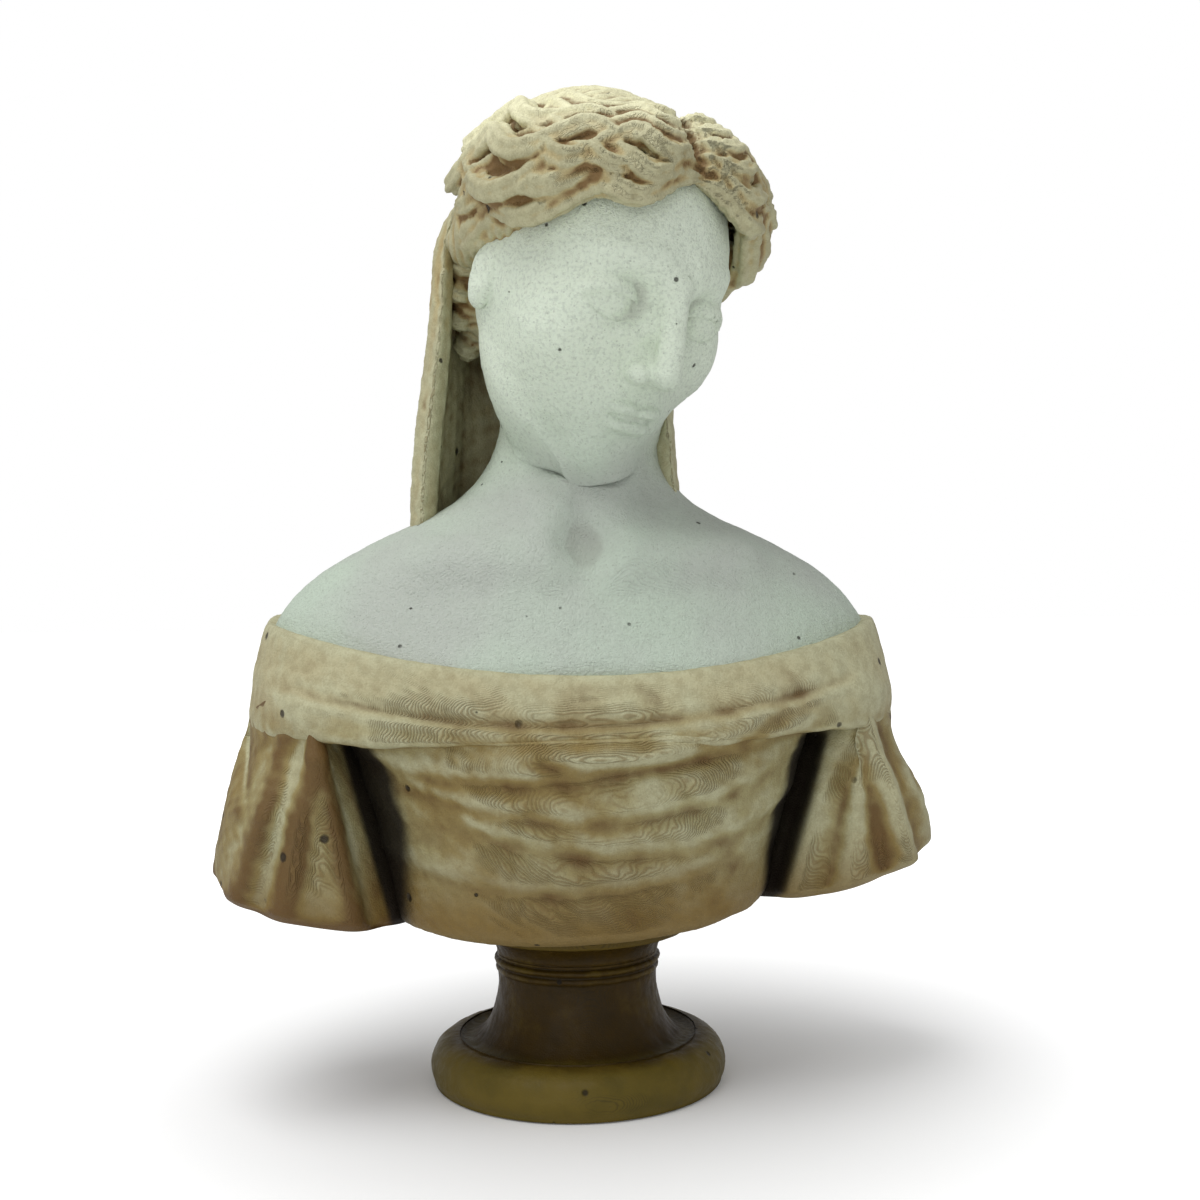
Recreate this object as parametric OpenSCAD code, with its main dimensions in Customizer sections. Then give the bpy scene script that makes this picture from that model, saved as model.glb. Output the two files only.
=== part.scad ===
// A draped bust on a turned socle, built up from separately worked stones.
// Millimetres. +Z is up, the bust faces -Y, and the origin is the centre of the resting face.

/* [Bust] */
// Half the width across the sleeves
half_span = 81.5; // [76:1:90]
// Height of the bust's lowest edge above the table
bust_base = 37; // [37:0.5:39]
// Width of the open slot beside the trunk, at its foot
slot_w = 4.5; // [4:0.5:7]

/* [Head] */
// Turn of the head towards its own left, in degrees
head_yaw = 27; // [0:1:35]
// Bow of the head, in degrees
head_bow = 26; // [0:1:32]
// Lean of the crown towards its own left, in degrees
head_lean = 6; // [0:1:10]

/* [Socle] */
// Radius of the foot
foot_r = 34; // [30:0.5:38]
// Radius of the waist
waist_r = 18.2; // [16:0.2:19]

/* [Fixings] */
// Radius of the threaded rod
rod_r = 2; // [1.5:0.5:3]
// Radius of the stone dowels
dowel_r = 1.2; // [1:0.1:1.5]
// Thickness of the felt under the foot
felt_t = 1; // [0.5:0.1:1.5]

/* [Hidden] */

head_at = [5, -13, 187];         // centre of the skull
face_root = [0, 3.5, 12];        // what the face is stretched about, in the skull's own frame
face_scale = [1.12, 1.1, 1.17];
band_z = 82;                     // underside of the arm bands, where the sleeves hang
neckline_z = 94.5;               // neckline at the middle of the front
socle_top = bust_base;           // the socle's top bed meets the trunk here
trunk_foot = 43;                 // half width of the trunk near its foot
sides = 48;                      // points round a lofted ring
well_r = 9;                      // well under the socle for the washer and nut
well_h = 7;                      // its depth above the felt
socket_r = 3.5;                  // brass socket let into the trunk
socket_l = 16;
socket_gap = 0.05;               // fit of the rod in its bores
veil_lip = 5;                    // where the veil's front edges fall, in y
veil_lean = -4;                  // how far they swing back towards the crown, in degrees
flesh_colour = [0.80, 0.83, 0.79];
honey_colour = [0.66, 0.57, 0.38];
socle_colour = [0.29, 0.26, 0.17];

// Torso sections: height, half width, front, back, sideways centre.
torso_rows = [[60, 26, -22, 15, 0], [78, 40, -33, 20, 0], [90, 62, -38, 25, 0], [96, 69, -38, 26, 0],
              [102, 68.8, -35.5, 26.5, 0], [107, 66.4, -32.5, 26, 0], [112, 62.5, -29.5, 25, 0],
              [117, 56.7, -26.5, 24, 0], [121, 50, -24, 22.5, 0], [125, 42.3, -22, 21, 0],
              [129, 33.6, -19, 20, 0], [134, 26, -14.5, 19.5, 0.4], [141, 20.6, -10.8, 19, 1],
              [150, 18.2, -9, 18.5, 2], [160, 17.6, -9, 18, 3], [170, 16.5, -9, 17, 4]];
// Trunk sections of the dress: share of its height, half width, front, back.
trunk_rows = [[0, trunk_foot - 2.5, -31, 24], [0.06, trunk_foot, -34.5, 26.5],
              [0.3, trunk_foot + 2.3, -38.5, 28], [0.6, trunk_foot + 6, -43, 28.5],
              [0.85, trunk_foot + 9.2, -44.5, 29], [1, trunk_foot + 10.5, -44, 29]];
// Arm band sections: share of its height, half width, front, back.
band_rows = [[0, 74.2, -43.5, 29.5], [0.35, 73.7, -44, 30], [0.75, 71.8, -42.3, 29.5],
             [1, 69.6, -40.2, 28.8]];
// Sleeve sections: share of its height from the foot, inner x, outer x, front, back.
sleeve_rows = [[0, trunk_foot + slot_w, half_span - 1.5, -27, 20],
               [0.07, trunk_foot + slot_w - 1, half_span, -29, 22],
               [0.5, trunk_foot + slot_w + 3, half_span - 3, -28, 22.5],
               [1, 55.5, half_span - 7.6, -25, 21]];

// ---- helpers ----

// Smooth interpolation of a table's rows at x in its first column.
function row_at(rows, x, i = 0) =
    (i >= len(rows) - 2 || x <= rows[i + 1][0]) ? i : row_at(rows, x, i + 1);
function slope(rows, i) = let(lo = max(i - 1, 0), hi = min(i + 1, len(rows) - 1))
    (rows[hi] - rows[lo]) / (rows[hi][0] - rows[lo][0]);
function smooth(rows, x) =
    let(i = row_at(rows, x), a = rows[i], b = rows[i + 1], h = b[0] - a[0], t = (x - a[0]) / h, u = 1 - t)
    a * (1 + 2 * t) * u * u + slope(rows, i) * h * t * u * u
    + b * t * t * (3 - 2 * t) - slope(rows, i + 1) * h * t * t * u;

// Signed power, for rounded rectangles and ellipses.
function spow(x, p) = sign(x) * pow(abs(x), p);

// One level ring: half width a, front and back depths, sideways centre cx, squareness n.
function ring(a, front, back, cx, n, z) = [for (i = [0 : sides - 1]) let(t = 360 * i / sides)
    [cx + a * spow(cos(t), 2 / n), (sin(t) < 0 ? -front : back) * spow(sin(t), 2 / n), z]];

// The bust's lower edge rises towards the arms in a shallow arc.
function hem(x) = bust_base + 0.0024 * x * x;
// The neckline dips at the middle of the front and climbs over the arms and back.
function neckline(x, y) = neckline_z + 0.0022 * x * x + (y > 0 ? 0.25 * min(y, 28) : 0);

// A closed solid through rings that all hold the same number of points.
module loft(rings) {
    n = len(rings[0]);
    last = len(rings) - 1;
    points = [for (r = rings) each r];
    walls = [for (k = [0 : last - 1], i = [0 : n - 1]) let(j = (i + 1) % n)
             each [[k * n + i, (k + 1) * n + i, (k + 1) * n + j],
                  [k * n + i, (k + 1) * n + j, k * n + j]]];
    foot_mid = [for (c = [0 : 2]) [for (p = rings[0]) p[c]] * [for (p = rings[0]) 1 / n]];
    head_mid = [for (c = [0 : 2]) [for (p = rings[last]) p[c]] * [for (p = rings[last]) 1 / n]];
    caps = [for (i = [0 : n - 1]) let(j = (i + 1) % n)
            each [[len(points), i, j], [len(points) + 1, last * n + j, last * n + i]]];
    polyhedron(concat(points, [foot_mid, head_mid]), concat(walls, caps));
}

// Keeps a carved block as one surface, so that its joints to other blocks stay clean.
module block() {
    resize([0, 0, 0]) children();
}

module egg(r, at = [0, 0, 0], fn = 32) {
    translate(at) scale(r) sphere(1, $fn = fn);
}

// Places a shape that is drawn about the skull's centre, facing -Y.
module on_head() {
    translate(head_at) rotate([0, 0, head_yaw]) rotate([head_bow, 0, 0]) rotate([0, head_lean, 0])
        children();
}

// Stretches what is drawn on a small face to the head's own length.
module on_face() {
    translate(face_root) scale(face_scale) translate(-face_root) children();
}

// ---- flesh ----

module skull() {
    egg([25, 31, 31], [0, 1.5, 2]);
    on_face() hull() {
        egg([22, 19, 14], [0, -5, 0], 28);
        egg([20, 17, 10], [0, -6, -17], 24);
        egg([9.5, 7, 6.5], [0, -19, -30.5], 20);
    }
}

module nose() {
    hull() {
        egg([2.2, 2.2, 2.5], [0, -25.4, 3], 12);
        egg([2.3, 2.6, 2.3], [0, -29.8, -13.2], 16);
        egg([4.4, 2.4, 2.6], [0, -25.2, -13], 12);
    }
    for (side = [-1, 1]) egg([2, 2.6, 1.9], [side * 3, -27, -14], 12);
}

module mouth() {
    for (side = [-1, 1]) egg([4.4, 2.6, 1.4], [side * 2.6, -25.1, -21.2], 16);
    egg([5.6, 2.7, 1.8], [0, -25, -23.8], 16);
}

module eye(side) {
    egg([4.7, 4.7, 4.3], [side * 10, -19.6, -2.6], 20);
    egg([5.6, 4.4, 1.4], [side * 10.4, -20, 0.2], 16);
}

module ear(side) {
    egg([2.4, 4, 6.8], [side * 21.8, 3.2, -7], 16);
}

module eye_socket(side) {
    egg([7.8, 4.6, 5], [side * 10.4, -27.2, -1.6], 20);
}

module head() {
    difference() {
        skull();
        on_face() for (side = [-1, 1]) eye_socket(side);
    }
    on_face() {
        nose();
        mouth();
        for (side = [-1, 1]) {
            eye(side);
            ear(side);
        }
    }
}

module torso() {
    loft([for (z = [60 : 6 : 168]) let(r = smooth(torso_rows, z)) ring(r[1], r[2], r[3], r[4], 2.35, z)]);
}

module head_and_shoulders() {
    color(flesh_colour) difference() {
        block() flesh_body();
        hair_dowel_hole();
        veil_dowel_holes();
    }
}

module flesh_body() {
    torso();
    on_head() head();
}

// ---- hair ----

// A closed form given by a radius share over longitude u and latitude v.
module pebble(radii, share, nu = 60, nv = 26) {
    loft([for (k = [1 : nv - 1]) let(v = -90 + 180 * k / nv) [for (i = [0 : nu - 1])
          let(u = 360 * i / nu, s = share(u, v))
          [radii[0] * cos(v) * cos(u) * s, radii[1] * cos(v) * sin(u) * s, radii[2] * sin(v) * s]]]);
}

// The combed crown: shallow strands, and a dip along the middle parting.
parting = function(u) exp(-pow((u - 270) / 9, 2));
crown_share = function(u, v) 1 + (0.014 * sin(u * 9 + v * 4) - 0.05 * parting(u)) * cos(v);

module crown() {
    translate([0, 3.5, 6.5]) pebble([30.5, 32.5, 30], crown_share, 56, 22);
}

// A waved roll of hair runs from the parting over the temple and the ear to the nape.
roll_path = [[0, 1, -25, 27.5, 3.6], [0.18, 10, -24, 25.5, 5.4], [0.4, 25, -18, 17, 7.2],
             [0.6, 31.5, -5, 9.5, 8.6], [0.8, 30, 10, 2, 8.4], [1, 18, 23, -7, 6.5]];

function roll_ring(side, t, n = 20) =
    let(c = smooth(roll_path, t), before = smooth(roll_path, max(t - 0.02, 0)),
        after = smooth(roll_path, min(t + 0.02, 1)), gap = after - before,
        dir = [gap[1], gap[2], gap[3]] / norm([gap[1], gap[2], gap[3]]),
        out = [c[1], c[2], 0] / norm([c[1], c[2], 0]),
        e = cross(dir, out) / norm(cross(dir, out)), f = cross(e, dir))
    [for (i = [0 : n - 1]) let(q = side * 360 * i / n, lock = 1 + 0.1 * sin(side * q * 5 + t * 1500),
                               p = [c[1], c[2], c[3]] + c[4] * lock * (e * sin(q) * 1.1 + f * 0.8 * cos(q)))
     [side * p[0], p[1], p[2]]];

module hair_roll(side) {
    loft([for (k = [0 : 28]) roll_ring(side, k / 28)]);
}

// What the hair leaves clear: the face below the hairline, and the neck.
module face_opening() {
    translate([0, -33, -17]) scale([23.5, 36, 39]) sphere(1, $fn = 40);
    translate([0, 8, -68]) cube([90, 90, 90], center = true);
}

module hair_mass() {
    difference() {
        crown();
        face_opening();
    }
    for (side = [-1, 1]) hair_roll(side);
}

module hair_front() {
    color(honey_colour) block() difference() {
        on_head() hair_mass();
        flesh_body();
        hair_dowel_hole();
    }
}

module chignon_mass() {
    translate([0, 22, -19]) pebble([21, 14, 15],
        function(u, v) 1 + 0.06 * sin(u * 6 + v * 3) * cos(v), 40, 16);
}

module chignon() {
    color(honey_colour) block() difference() {
        on_head() difference() {
            chignon_mass();
            hair_mass();
        }
        flesh_body();
    }
}

// ---- veil ----

// Veil sections: height, half width, back depth, sideways centre, thickness.
veil_rows = [[94, 29, 36, -4.5, 5], [106, 30, 34.5, -4.5, 5], [118, 31, 32, -5, 5.5],
             [130, 31, 30, -5.5, 6], [145, 30, 29, -5.5, 6], [158, 29, 30, -5, 6],
             [170, 28, 32, -4.5, 6], [182, 26.5, 33, -5, 5],
             [192, 23.5, 31.5, -7, 5], [201, 17.5, 27, -8, 4.5], [207, 8, 21, -9, 4]];
veil_fold = function(t, z) 0.05 * sin(t * 10) * min(1, (208 - z) / 50);

// The veil hangs as a cloak round the back; inset gives the surface that lies inside it.
function veil_ring(z, inset) = let(r = smooth(veil_rows, z), k = inset ? r[4] : 0, n = 44)
    [for (i = [0 : n - 1]) let(t = 360 * i / n, s = 1 + veil_fold(t, z))
     [r[3] + (r[1] - k) * cos(t) * s, (sin(t) > 0 ? (r[2] - k) * sin(t) : 16 * sin(t)) * s, z]];

module veil_front_cut() {
    translate([0, -12 + veil_lip, 150]) rotate([veil_lean, 0, 0]) cube([120, 40, 160], center = true);
}

module veil() {
    color(honey_colour) block() difference() {
        loft([for (k = [0 : 18]) veil_ring(94 + 113 * k / 18, false)]);
        loft([for (k = [-1 : 15]) veil_ring(94 + 113 * k / 18, true)]);
        veil_front_cut();
        flesh_body();
        on_head() {
            hair_mass();
            chignon_mass();
        }
        bodice_mass();
        veil_dowel_holes();
    }
}

// ---- dress ----

// The dress sags in shallow swags hung from the two sleeves.
function swag(x, z) = sin((z - 0.006 * x * x) * 24) * max(0, min(1, (z - 44) / 12));

module trunk() {
    loft([for (k = [0 : 14]) let(t = k < 3 ? k * 0.03 : (k - 1) / 13, r = smooth(trunk_rows, t))
          [for (p = ring(r[1], r[2], r[3], 0, 2.6, 0))
           let(z = hem(p[0]) + (band_z + 1 - hem(p[0])) * t)
           [p[0], p[1] < 0 ? p[1] * (1 + 0.02 * swag(p[0], z)) : p[1], z]]]);
}

module band() {
    loft([for (k = [0 : 8]) let(t = k / 8, r = smooth(band_rows, t))
          [for (p = ring(r[1], r[2] - 0.8 * sin(t * 720), r[3], 0, 2.45, 0))
           [p[0], p[1], band_z + (neckline(p[0], p[1]) - band_z) * t]]]);
}

module bodice_mass() {
    trunk();
    band();
}

module bodice() {
    color(honey_colour) difference() {
        block() difference() {
            bodice_mass();
            flesh_body();
            sleeve_dowel_holes();
        }
        translate([0, 0, bust_base - 2]) cylinder(r = socket_r, h = socket_l + 1, $fn = 48);
        translate([0, 0, bust_base - 10]) cylinder(r = 30, h = 10, $fn = 64);
    }
}

// A sleeve's ring, with folds that open out towards the foot.
function sleeve_ring(t) = let(r = smooth(sleeve_rows, t), a = (r[2] - r[1]) / 2, cx = (r[1] + r[2]) / 2)
    [for (i = [0 : sides - 1]) let(q = 360 * i / sides, x = cx + a * spow(cos(q), 0.85),
                                  open = 1 - t, pleat = 1 + 0.05 * open * sin(q * 9))
     [x, (sin(q) < 0 ? -r[3] : r[4]) * spow(sin(q), 0.85) * pleat, hem(x) + (band_z - hem(x)) * t]];

module sleeve() {
    block() difference() {
        loft([for (k = [0 : 12]) sleeve_ring(k < 3 ? k * 0.035 : (k - 1) / 11)]);
        sleeve_dowel_holes();
    }
}

module sleeve_left() {
    color(honey_colour) sleeve();
}

module sleeve_right() {
    color(honey_colour) mirror([1, 0, 0]) sleeve();
}

// ---- socle ----

// Part of an ellipse, from one angle to another.
function arc(cx, cz, rx, rz, from, to, n = 8) =
    [for (i = [0 : n]) let(a = from + (to - from) * i / n) [cx + rx * cos(a), cz + rz * sin(a)]];

module socle_profile() {
    bore = rod_r + socket_gap;
    polygon(concat(
        [[bore, felt_t + well_h], [well_r, felt_t + well_h], [well_r, felt_t]],
        [[foot_r - 2, felt_t], [foot_r - 2, 0.3], [foot_r - 0.8, 0.3]],
        arc(foot_r - 6.6, 4, 6.6, 6.4, -32, 92, 10),
        arc(foot_r - 8.1, 11, 1.4, 1.4, -10, -100, 3),
        arc(waist_r + 7.5, 23.8, 7.5, 14.2, 268, 182, 9),
        arc(waist_r - 0.3, 25.9, 0.9, 0.9, -60, 60, 4),
        arc(waist_r - 0.2, 28, 1.2, 1, -60, 60, 4),
        arc(waist_r + 7.6, 29.6, 7.2, 5, 180, 95, 6),
        [[waist_r + 7.2, socle_top], [bore, socle_top]]));
}

module socle() {
    color(socle_colour) rotate_extrude($fn = 72) socle_profile();
}

module felt_pad() {
    color([0.16, 0.2, 0.13]) cylinder(r = foot_r - 2.4, h = felt_t, $fn = 96);
}

// ---- fixings ----

rod_bottom = felt_t + 1;
washer_z = felt_t + well_h - 1;

module threaded_rod() {
    color("silver") translate([0, 0, rod_bottom]) {
        cylinder(r1 = rod_r - 0.5, r2 = rod_r, h = 0.5, $fn = 48);
        translate([0, 0, 0.5]) cylinder(r = rod_r, h = bust_base + socket_l - 6 - rod_bottom, $fn = 48);
    }
}

module rod_socket() {
    color("goldenrod") difference() {
        translate([0, 0, bust_base]) cylinder(r = socket_r, h = socket_l - 1, $fn = 48);
        translate([0, 0, bust_base - 1]) cylinder(r = rod_r + socket_gap, h = socket_l - 2, $fn = 48);
    }
}

module ring_plate(outer, thick, z) {
    translate([0, 0, z]) difference() {
        cylinder(r = outer, h = thick, $fn = 64);
        translate([0, 0, -1]) cylinder(r = rod_r + 0.15, h = thick + 2, $fn = 48);
    }
}

module washer() {
    color("silver") ring_plate(6, 1, washer_z);
}

module spring_washer() {
    color("gray") difference() {
        ring_plate(3.8, 1, washer_z - 1);
        translate([3, 0, washer_z - 0.5]) cube([4, 0.6, 3], center = true);
    }
}

module nut() {
    color("silver") translate([0, 0, washer_z - 4.2]) difference() {
        cylinder(r = 4.04, h = 3.2, $fn = 6);
        translate([0, 0, -1]) cylinder(r = rod_r + socket_gap, h = 6, $fn = 48);
    }
}

module sleeve_dowel_holes() {
    for (side = [-1, 1], y = [-9, 9])
        translate([side * 64, y, band_z - 7]) cylinder(r = dowel_r, h = 14, $fn = 24);
}

module sleeve_dowels() {
    color("silver") sleeve_dowel_holes();
}

// The same pins cut their own holes in the blocks that they join.
module veil_dowel_holes() {
    for (x = [-15, 6]) translate([x, 17, 112]) rotate([-90, 0, 0]) cylinder(r = dowel_r, h = 11, $fn = 24);
}

module veil_dowels() {
    color("silver") veil_dowel_holes();
}

module hair_dowel() {
    color("silver") hair_dowel_hole();
}

module hair_dowel_hole() {
    on_head() translate([0, 4, 27]) cylinder(r = dowel_r, h = 7, $fn = 24);
}

head_and_shoulders();
hair_front();
chignon();
veil();
bodice();
sleeve_right();
sleeve_left();
socle();
felt_pad();
threaded_rod();
rod_socket();
washer();
spring_washer();
nut();
sleeve_dowels();
veil_dowels();
hair_dowel();
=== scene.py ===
"""The draped bust's visual model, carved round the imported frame: an add-on that is run as a script."""

import math

import bmesh
import bpy
import numpy as np
from mathutils import Matrix, Vector


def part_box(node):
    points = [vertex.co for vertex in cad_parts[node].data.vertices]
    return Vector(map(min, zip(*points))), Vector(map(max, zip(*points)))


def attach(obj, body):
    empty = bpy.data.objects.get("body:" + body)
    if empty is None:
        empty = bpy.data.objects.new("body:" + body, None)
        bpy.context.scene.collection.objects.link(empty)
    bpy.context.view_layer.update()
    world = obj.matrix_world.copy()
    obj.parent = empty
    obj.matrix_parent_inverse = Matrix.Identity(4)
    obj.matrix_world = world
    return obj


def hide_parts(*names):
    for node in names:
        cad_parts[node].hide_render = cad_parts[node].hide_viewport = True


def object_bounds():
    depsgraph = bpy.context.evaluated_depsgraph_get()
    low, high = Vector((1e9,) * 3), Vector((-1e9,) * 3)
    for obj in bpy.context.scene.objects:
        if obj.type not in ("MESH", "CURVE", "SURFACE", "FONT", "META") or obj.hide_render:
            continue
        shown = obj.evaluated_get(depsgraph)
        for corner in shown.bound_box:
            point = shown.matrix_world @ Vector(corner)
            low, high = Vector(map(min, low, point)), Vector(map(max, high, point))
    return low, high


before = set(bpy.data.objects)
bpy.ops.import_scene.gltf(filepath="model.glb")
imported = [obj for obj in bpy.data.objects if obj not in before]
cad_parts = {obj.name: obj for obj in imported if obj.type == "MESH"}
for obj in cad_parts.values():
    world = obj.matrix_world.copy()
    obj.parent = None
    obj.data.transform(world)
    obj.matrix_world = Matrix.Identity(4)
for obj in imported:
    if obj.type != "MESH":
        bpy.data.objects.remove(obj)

bl_info = {
    "name": "Draped Marble Bust",
    "version": (1, 0, 0),
    "blender": (4, 5, 0),
    "location": "View3D > Sidebar > Bust",
    "description": "Carves a draped bust of two marbles on a turned socle",
    "category": "Object",
}

CAD_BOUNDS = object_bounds()
MM = 0.001

# The frame's own sizes, in millimetres.


def box_mm(node):
    """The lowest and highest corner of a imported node, in millimetres."""
    low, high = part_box(node)
    return np.array(low) / MM, np.array(high) / MM


SLEEVE_LOW, SLEEVE_HIGH = box_mm("sleeve_left")
BODICE_LOW, BODICE_HIGH = box_mm("bodice")
SOCLE_LOW, SOCLE_HIGH = box_mm("socle")
HALF_SPAN = float(SLEEVE_HIGH[0])
BUST_BASE = float(BODICE_LOW[2])
BAND_Z = float(SLEEVE_HIGH[2])
HEAD_AT = np.array([5.0, -13.0, 187.0])
NECKLINE_Z = 94.5
FACE_ROOT = np.array([0.0, 3.5, 12.0])
FACE_SCALE = np.array([1.12, 1.1, 1.17])
CAP_AT = np.array([0, 3.5, 4.5])
LENS_MM = 43.8
SENSOR_MM = 36


# ---- solid forms as distances, in millimetres ----


def ellipsoid(p, centre, radii):
    """About the distance from each point to an ellipsoid, negative inside."""
    q = (p - np.array(centre, float)) / np.array(radii, float)
    near = np.sqrt((q * q).sum(1))
    slope = q / np.array(radii, float)
    return near * (near - 1) / np.maximum(np.sqrt((slope * slope).sum(1)), 1e-9)


def rod(p, start, end, r_start, r_end):
    """Distance to a tapered rod with round ends."""
    a, b = np.array(start, float), np.array(end, float)
    along = np.clip(((p - a) @ (b - a)) / ((b - a) @ (b - a)), 0, 1)
    gap = p - a - along[:, None] * (b - a)
    return np.sqrt((gap * gap).sum(1)) - (r_start + (r_end - r_start) * along)


def join(a, b, k):
    """Adds two forms with a fillet of about k."""
    h = np.clip(0.5 + 0.5 * (b - a) / k, 0, 1)
    return b * (1 - h) + a * h - k * h * (1 - h)


def carve(a, b, k):
    """Cuts form b out of form a with a soft edge of about k."""
    return -join(-a, b, k)


def window(x, low, high, soft):
    """One between low and high, fading to nothing over soft outside them."""
    rise = np.clip((x - low) / soft + 1, 0, 1)
    fall = np.clip((high - x) / soft + 1, 0, 1)
    return rise * rise * (3 - 2 * rise) * fall * fall * (3 - 2 * fall)


def smooth_rows(rows, x):
    """Smooth values of a table's columns at x, which its first column holds."""
    rows = np.array(rows, float)
    key = rows[:, 0]
    i = np.clip(np.searchsorted(key, x, side="right") - 1, 0, len(key) - 2)
    lo, hi = np.maximum(np.arange(len(key)) - 1, 0), np.minimum(np.arange(len(key)) + 1, len(key) - 1)
    slope = (rows[hi] - rows[lo]) / (key[hi] - key[lo])[:, None]
    h = (key[i + 1] - key[i])[:, None]
    t = np.clip((x - key[i]) / h[:, 0], 0, 1)[:, None]
    u = 1 - t
    return (rows[i] * (1 + 2 * t) * u * u + slope[i] * h * t * u * u
            + rows[i + 1] * t * t * (3 - 2 * t) - slope[i + 1] * h * t * t * u)


# ---- meshes ----


def new_mesh(name, bm, smooth=True):
    """Makes an object of a bmesh that is in millimetres, and frees the bmesh."""
    bmesh.ops.scale(bm, vec=(MM, MM, MM), verts=bm.verts)
    mesh = bpy.data.meshes.new(name)
    bm.to_mesh(mesh)
    bm.free()
    piece = bpy.data.objects.new(name, mesh)
    bpy.context.scene.collection.objects.link(piece)
    if smooth:
        mesh.shade_smooth()
    return piece


def read_points(piece):
    """A piece's points in millimetres."""
    flat = np.empty(len(piece.data.vertices) * 3)
    piece.data.vertices.foreach_get("co", flat)
    return flat.reshape(-1, 3) / MM


def write_points(piece, points):
    """Puts a piece's points back, from millimetres."""
    piece.data.vertices.foreach_set("co", (points * MM).ravel())
    piece.data.update()


def read_edges(piece):
    """The two ends of each edge."""
    flat = np.empty(len(piece.data.edges) * 2, dtype=np.int64)
    piece.data.edges.foreach_get("vertices", flat)
    return flat.reshape(-1, 2)


def read_normals(piece):
    """Each point's outward direction."""
    flat = np.empty(len(piece.data.vertices) * 3)
    piece.data.vertex_normals.foreach_get("vector", flat)
    return flat.reshape(-1, 3)


def neighbour_mean(values, edges):
    """The mean of each point's neighbours' values."""
    n = len(values)
    a, b = edges[:, 0], edges[:, 1]
    degree = np.bincount(a, minlength=n) + np.bincount(b, minlength=n)
    total = np.empty_like(values)
    for axis in range(values.shape[1]):
        column = values[:, axis]
        total[:, axis] = np.bincount(a, column[b], n) + np.bincount(b, column[a], n)
    return total / np.maximum(degree, 1)[:, None]


def relax(piece, rounds, share=0.5):
    """Evens a piece's surface out."""
    edges = read_edges(piece)
    points = read_points(piece)
    for _ in range(rounds):
        points += share * (neighbour_mean(points, edges) - points)
    write_points(piece, points)


def relax_where(piece, chosen, rounds, share=0.5):
    """Evens out only the points that pass a test."""
    edges = read_edges(piece)
    points = read_points(piece)
    weight = share * chosen(points)[:, None]
    for _ in range(rounds):
        points += weight * (neighbour_mean(points, edges) - points)
    write_points(piece, points)


def press(piece, form, rounds=4, reach=2.5):
    """Presses a piece's points onto the surface of a form."""
    points = read_points(piece)
    step = 0.02
    for _ in range(rounds):
        here = form(points)
        slope = np.stack([(form(points + step * axis) - here) / step for axis in np.eye(3)], 1)
        move = -here[:, None] * slope / np.maximum((slope * slope).sum(1), 0.05)[:, None]
        length = np.sqrt((move * move).sum(1))
        points += move * np.minimum(1, reach / np.maximum(length, 1e-9))[:, None]
    write_points(piece, points)


def voxel_union(piece, size):
    """Fuses a piece's overlapping lumps into one even skin."""
    tool = piece.modifiers.new("fuse", "REMESH")
    tool.mode = "VOXEL"
    tool.voxel_size = size * MM
    tool.use_smooth_shade = True
    apply_modifiers(piece)


def apply_modifiers(piece):
    """Bakes a piece's modifiers into its mesh."""
    graph = bpy.context.evaluated_depsgraph_get()
    made = bpy.data.meshes.new_from_object(piece.evaluated_get(graph))
    old = piece.data
    piece.modifiers.clear()
    piece.data = made
    made.name = piece.name
    bpy.data.meshes.remove(old)
    made.shade_smooth()


def refine(piece, where, cuts=1):
    """Splits the faces whose middle passes a test, for finer carving there."""
    bm = bmesh.new()
    bm.from_mesh(piece.data)
    bm.faces.ensure_lookup_table()
    middles = np.array([face.calc_center_median() for face in bm.faces]) / MM
    chosen = where(middles)
    edges = {edge for face, use in zip(bm.faces, chosen) if use for edge in face.edges}
    bmesh.ops.subdivide_edges(bm, edges=list(edges), cuts=cuts, use_grid_fill=True)
    bm.to_mesh(piece.data)
    bm.free()
    piece.data.shade_smooth()


def lump(bm, centre, radii, turn=None, fineness=3):
    """Adds an ellipsoid to a bmesh."""
    place = Matrix.Translation(Vector(centre)) @ (turn or Matrix()) @ Matrix.Diagonal((*radii, 1))
    bmesh.ops.create_icosphere(bm, subdivisions=fineness, radius=1, matrix=place)


def chain(bm, path, radii, flat=1.0, fineness=2):
    """Adds a run of overlapping lumps along a path, stretched along it."""
    for i in range(len(path) - 1):
        a, b = Vector(path[i]), Vector(path[i + 1])
        r = 0.5 * (radii[i] + radii[i + 1])
        turn = (b - a).to_track_quat("X", "Z").to_matrix().to_4x4()
        lump(bm, (a + b) / 2, ((b - a).length * 0.9 + r * 0.35, r, r * flat), turn, fineness)


def wrapped_ball(name, around, tall, shape):
    """A closed skin: shape gives a point for each turn u (0 to 1) and level t (-1 to 1) of a
    ball's points."""
    bm = bmesh.new()
    bmesh.ops.create_uvsphere(bm, u_segments=around, v_segments=tall, radius=1)
    ball = np.array([v.co for v in bm.verts])
    turn = np.arctan2(ball[:, 1], ball[:, 0])
    level = np.arcsin(np.clip(ball[:, 2], -1, 1)) / (math.pi / 2)
    points = shape(turn, level)
    for vert, point in zip(bm.verts, points):
        vert.co = point
    bmesh.ops.recalc_face_normals(bm, faces=bm.faces)
    return new_mesh(name, bm)


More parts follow.
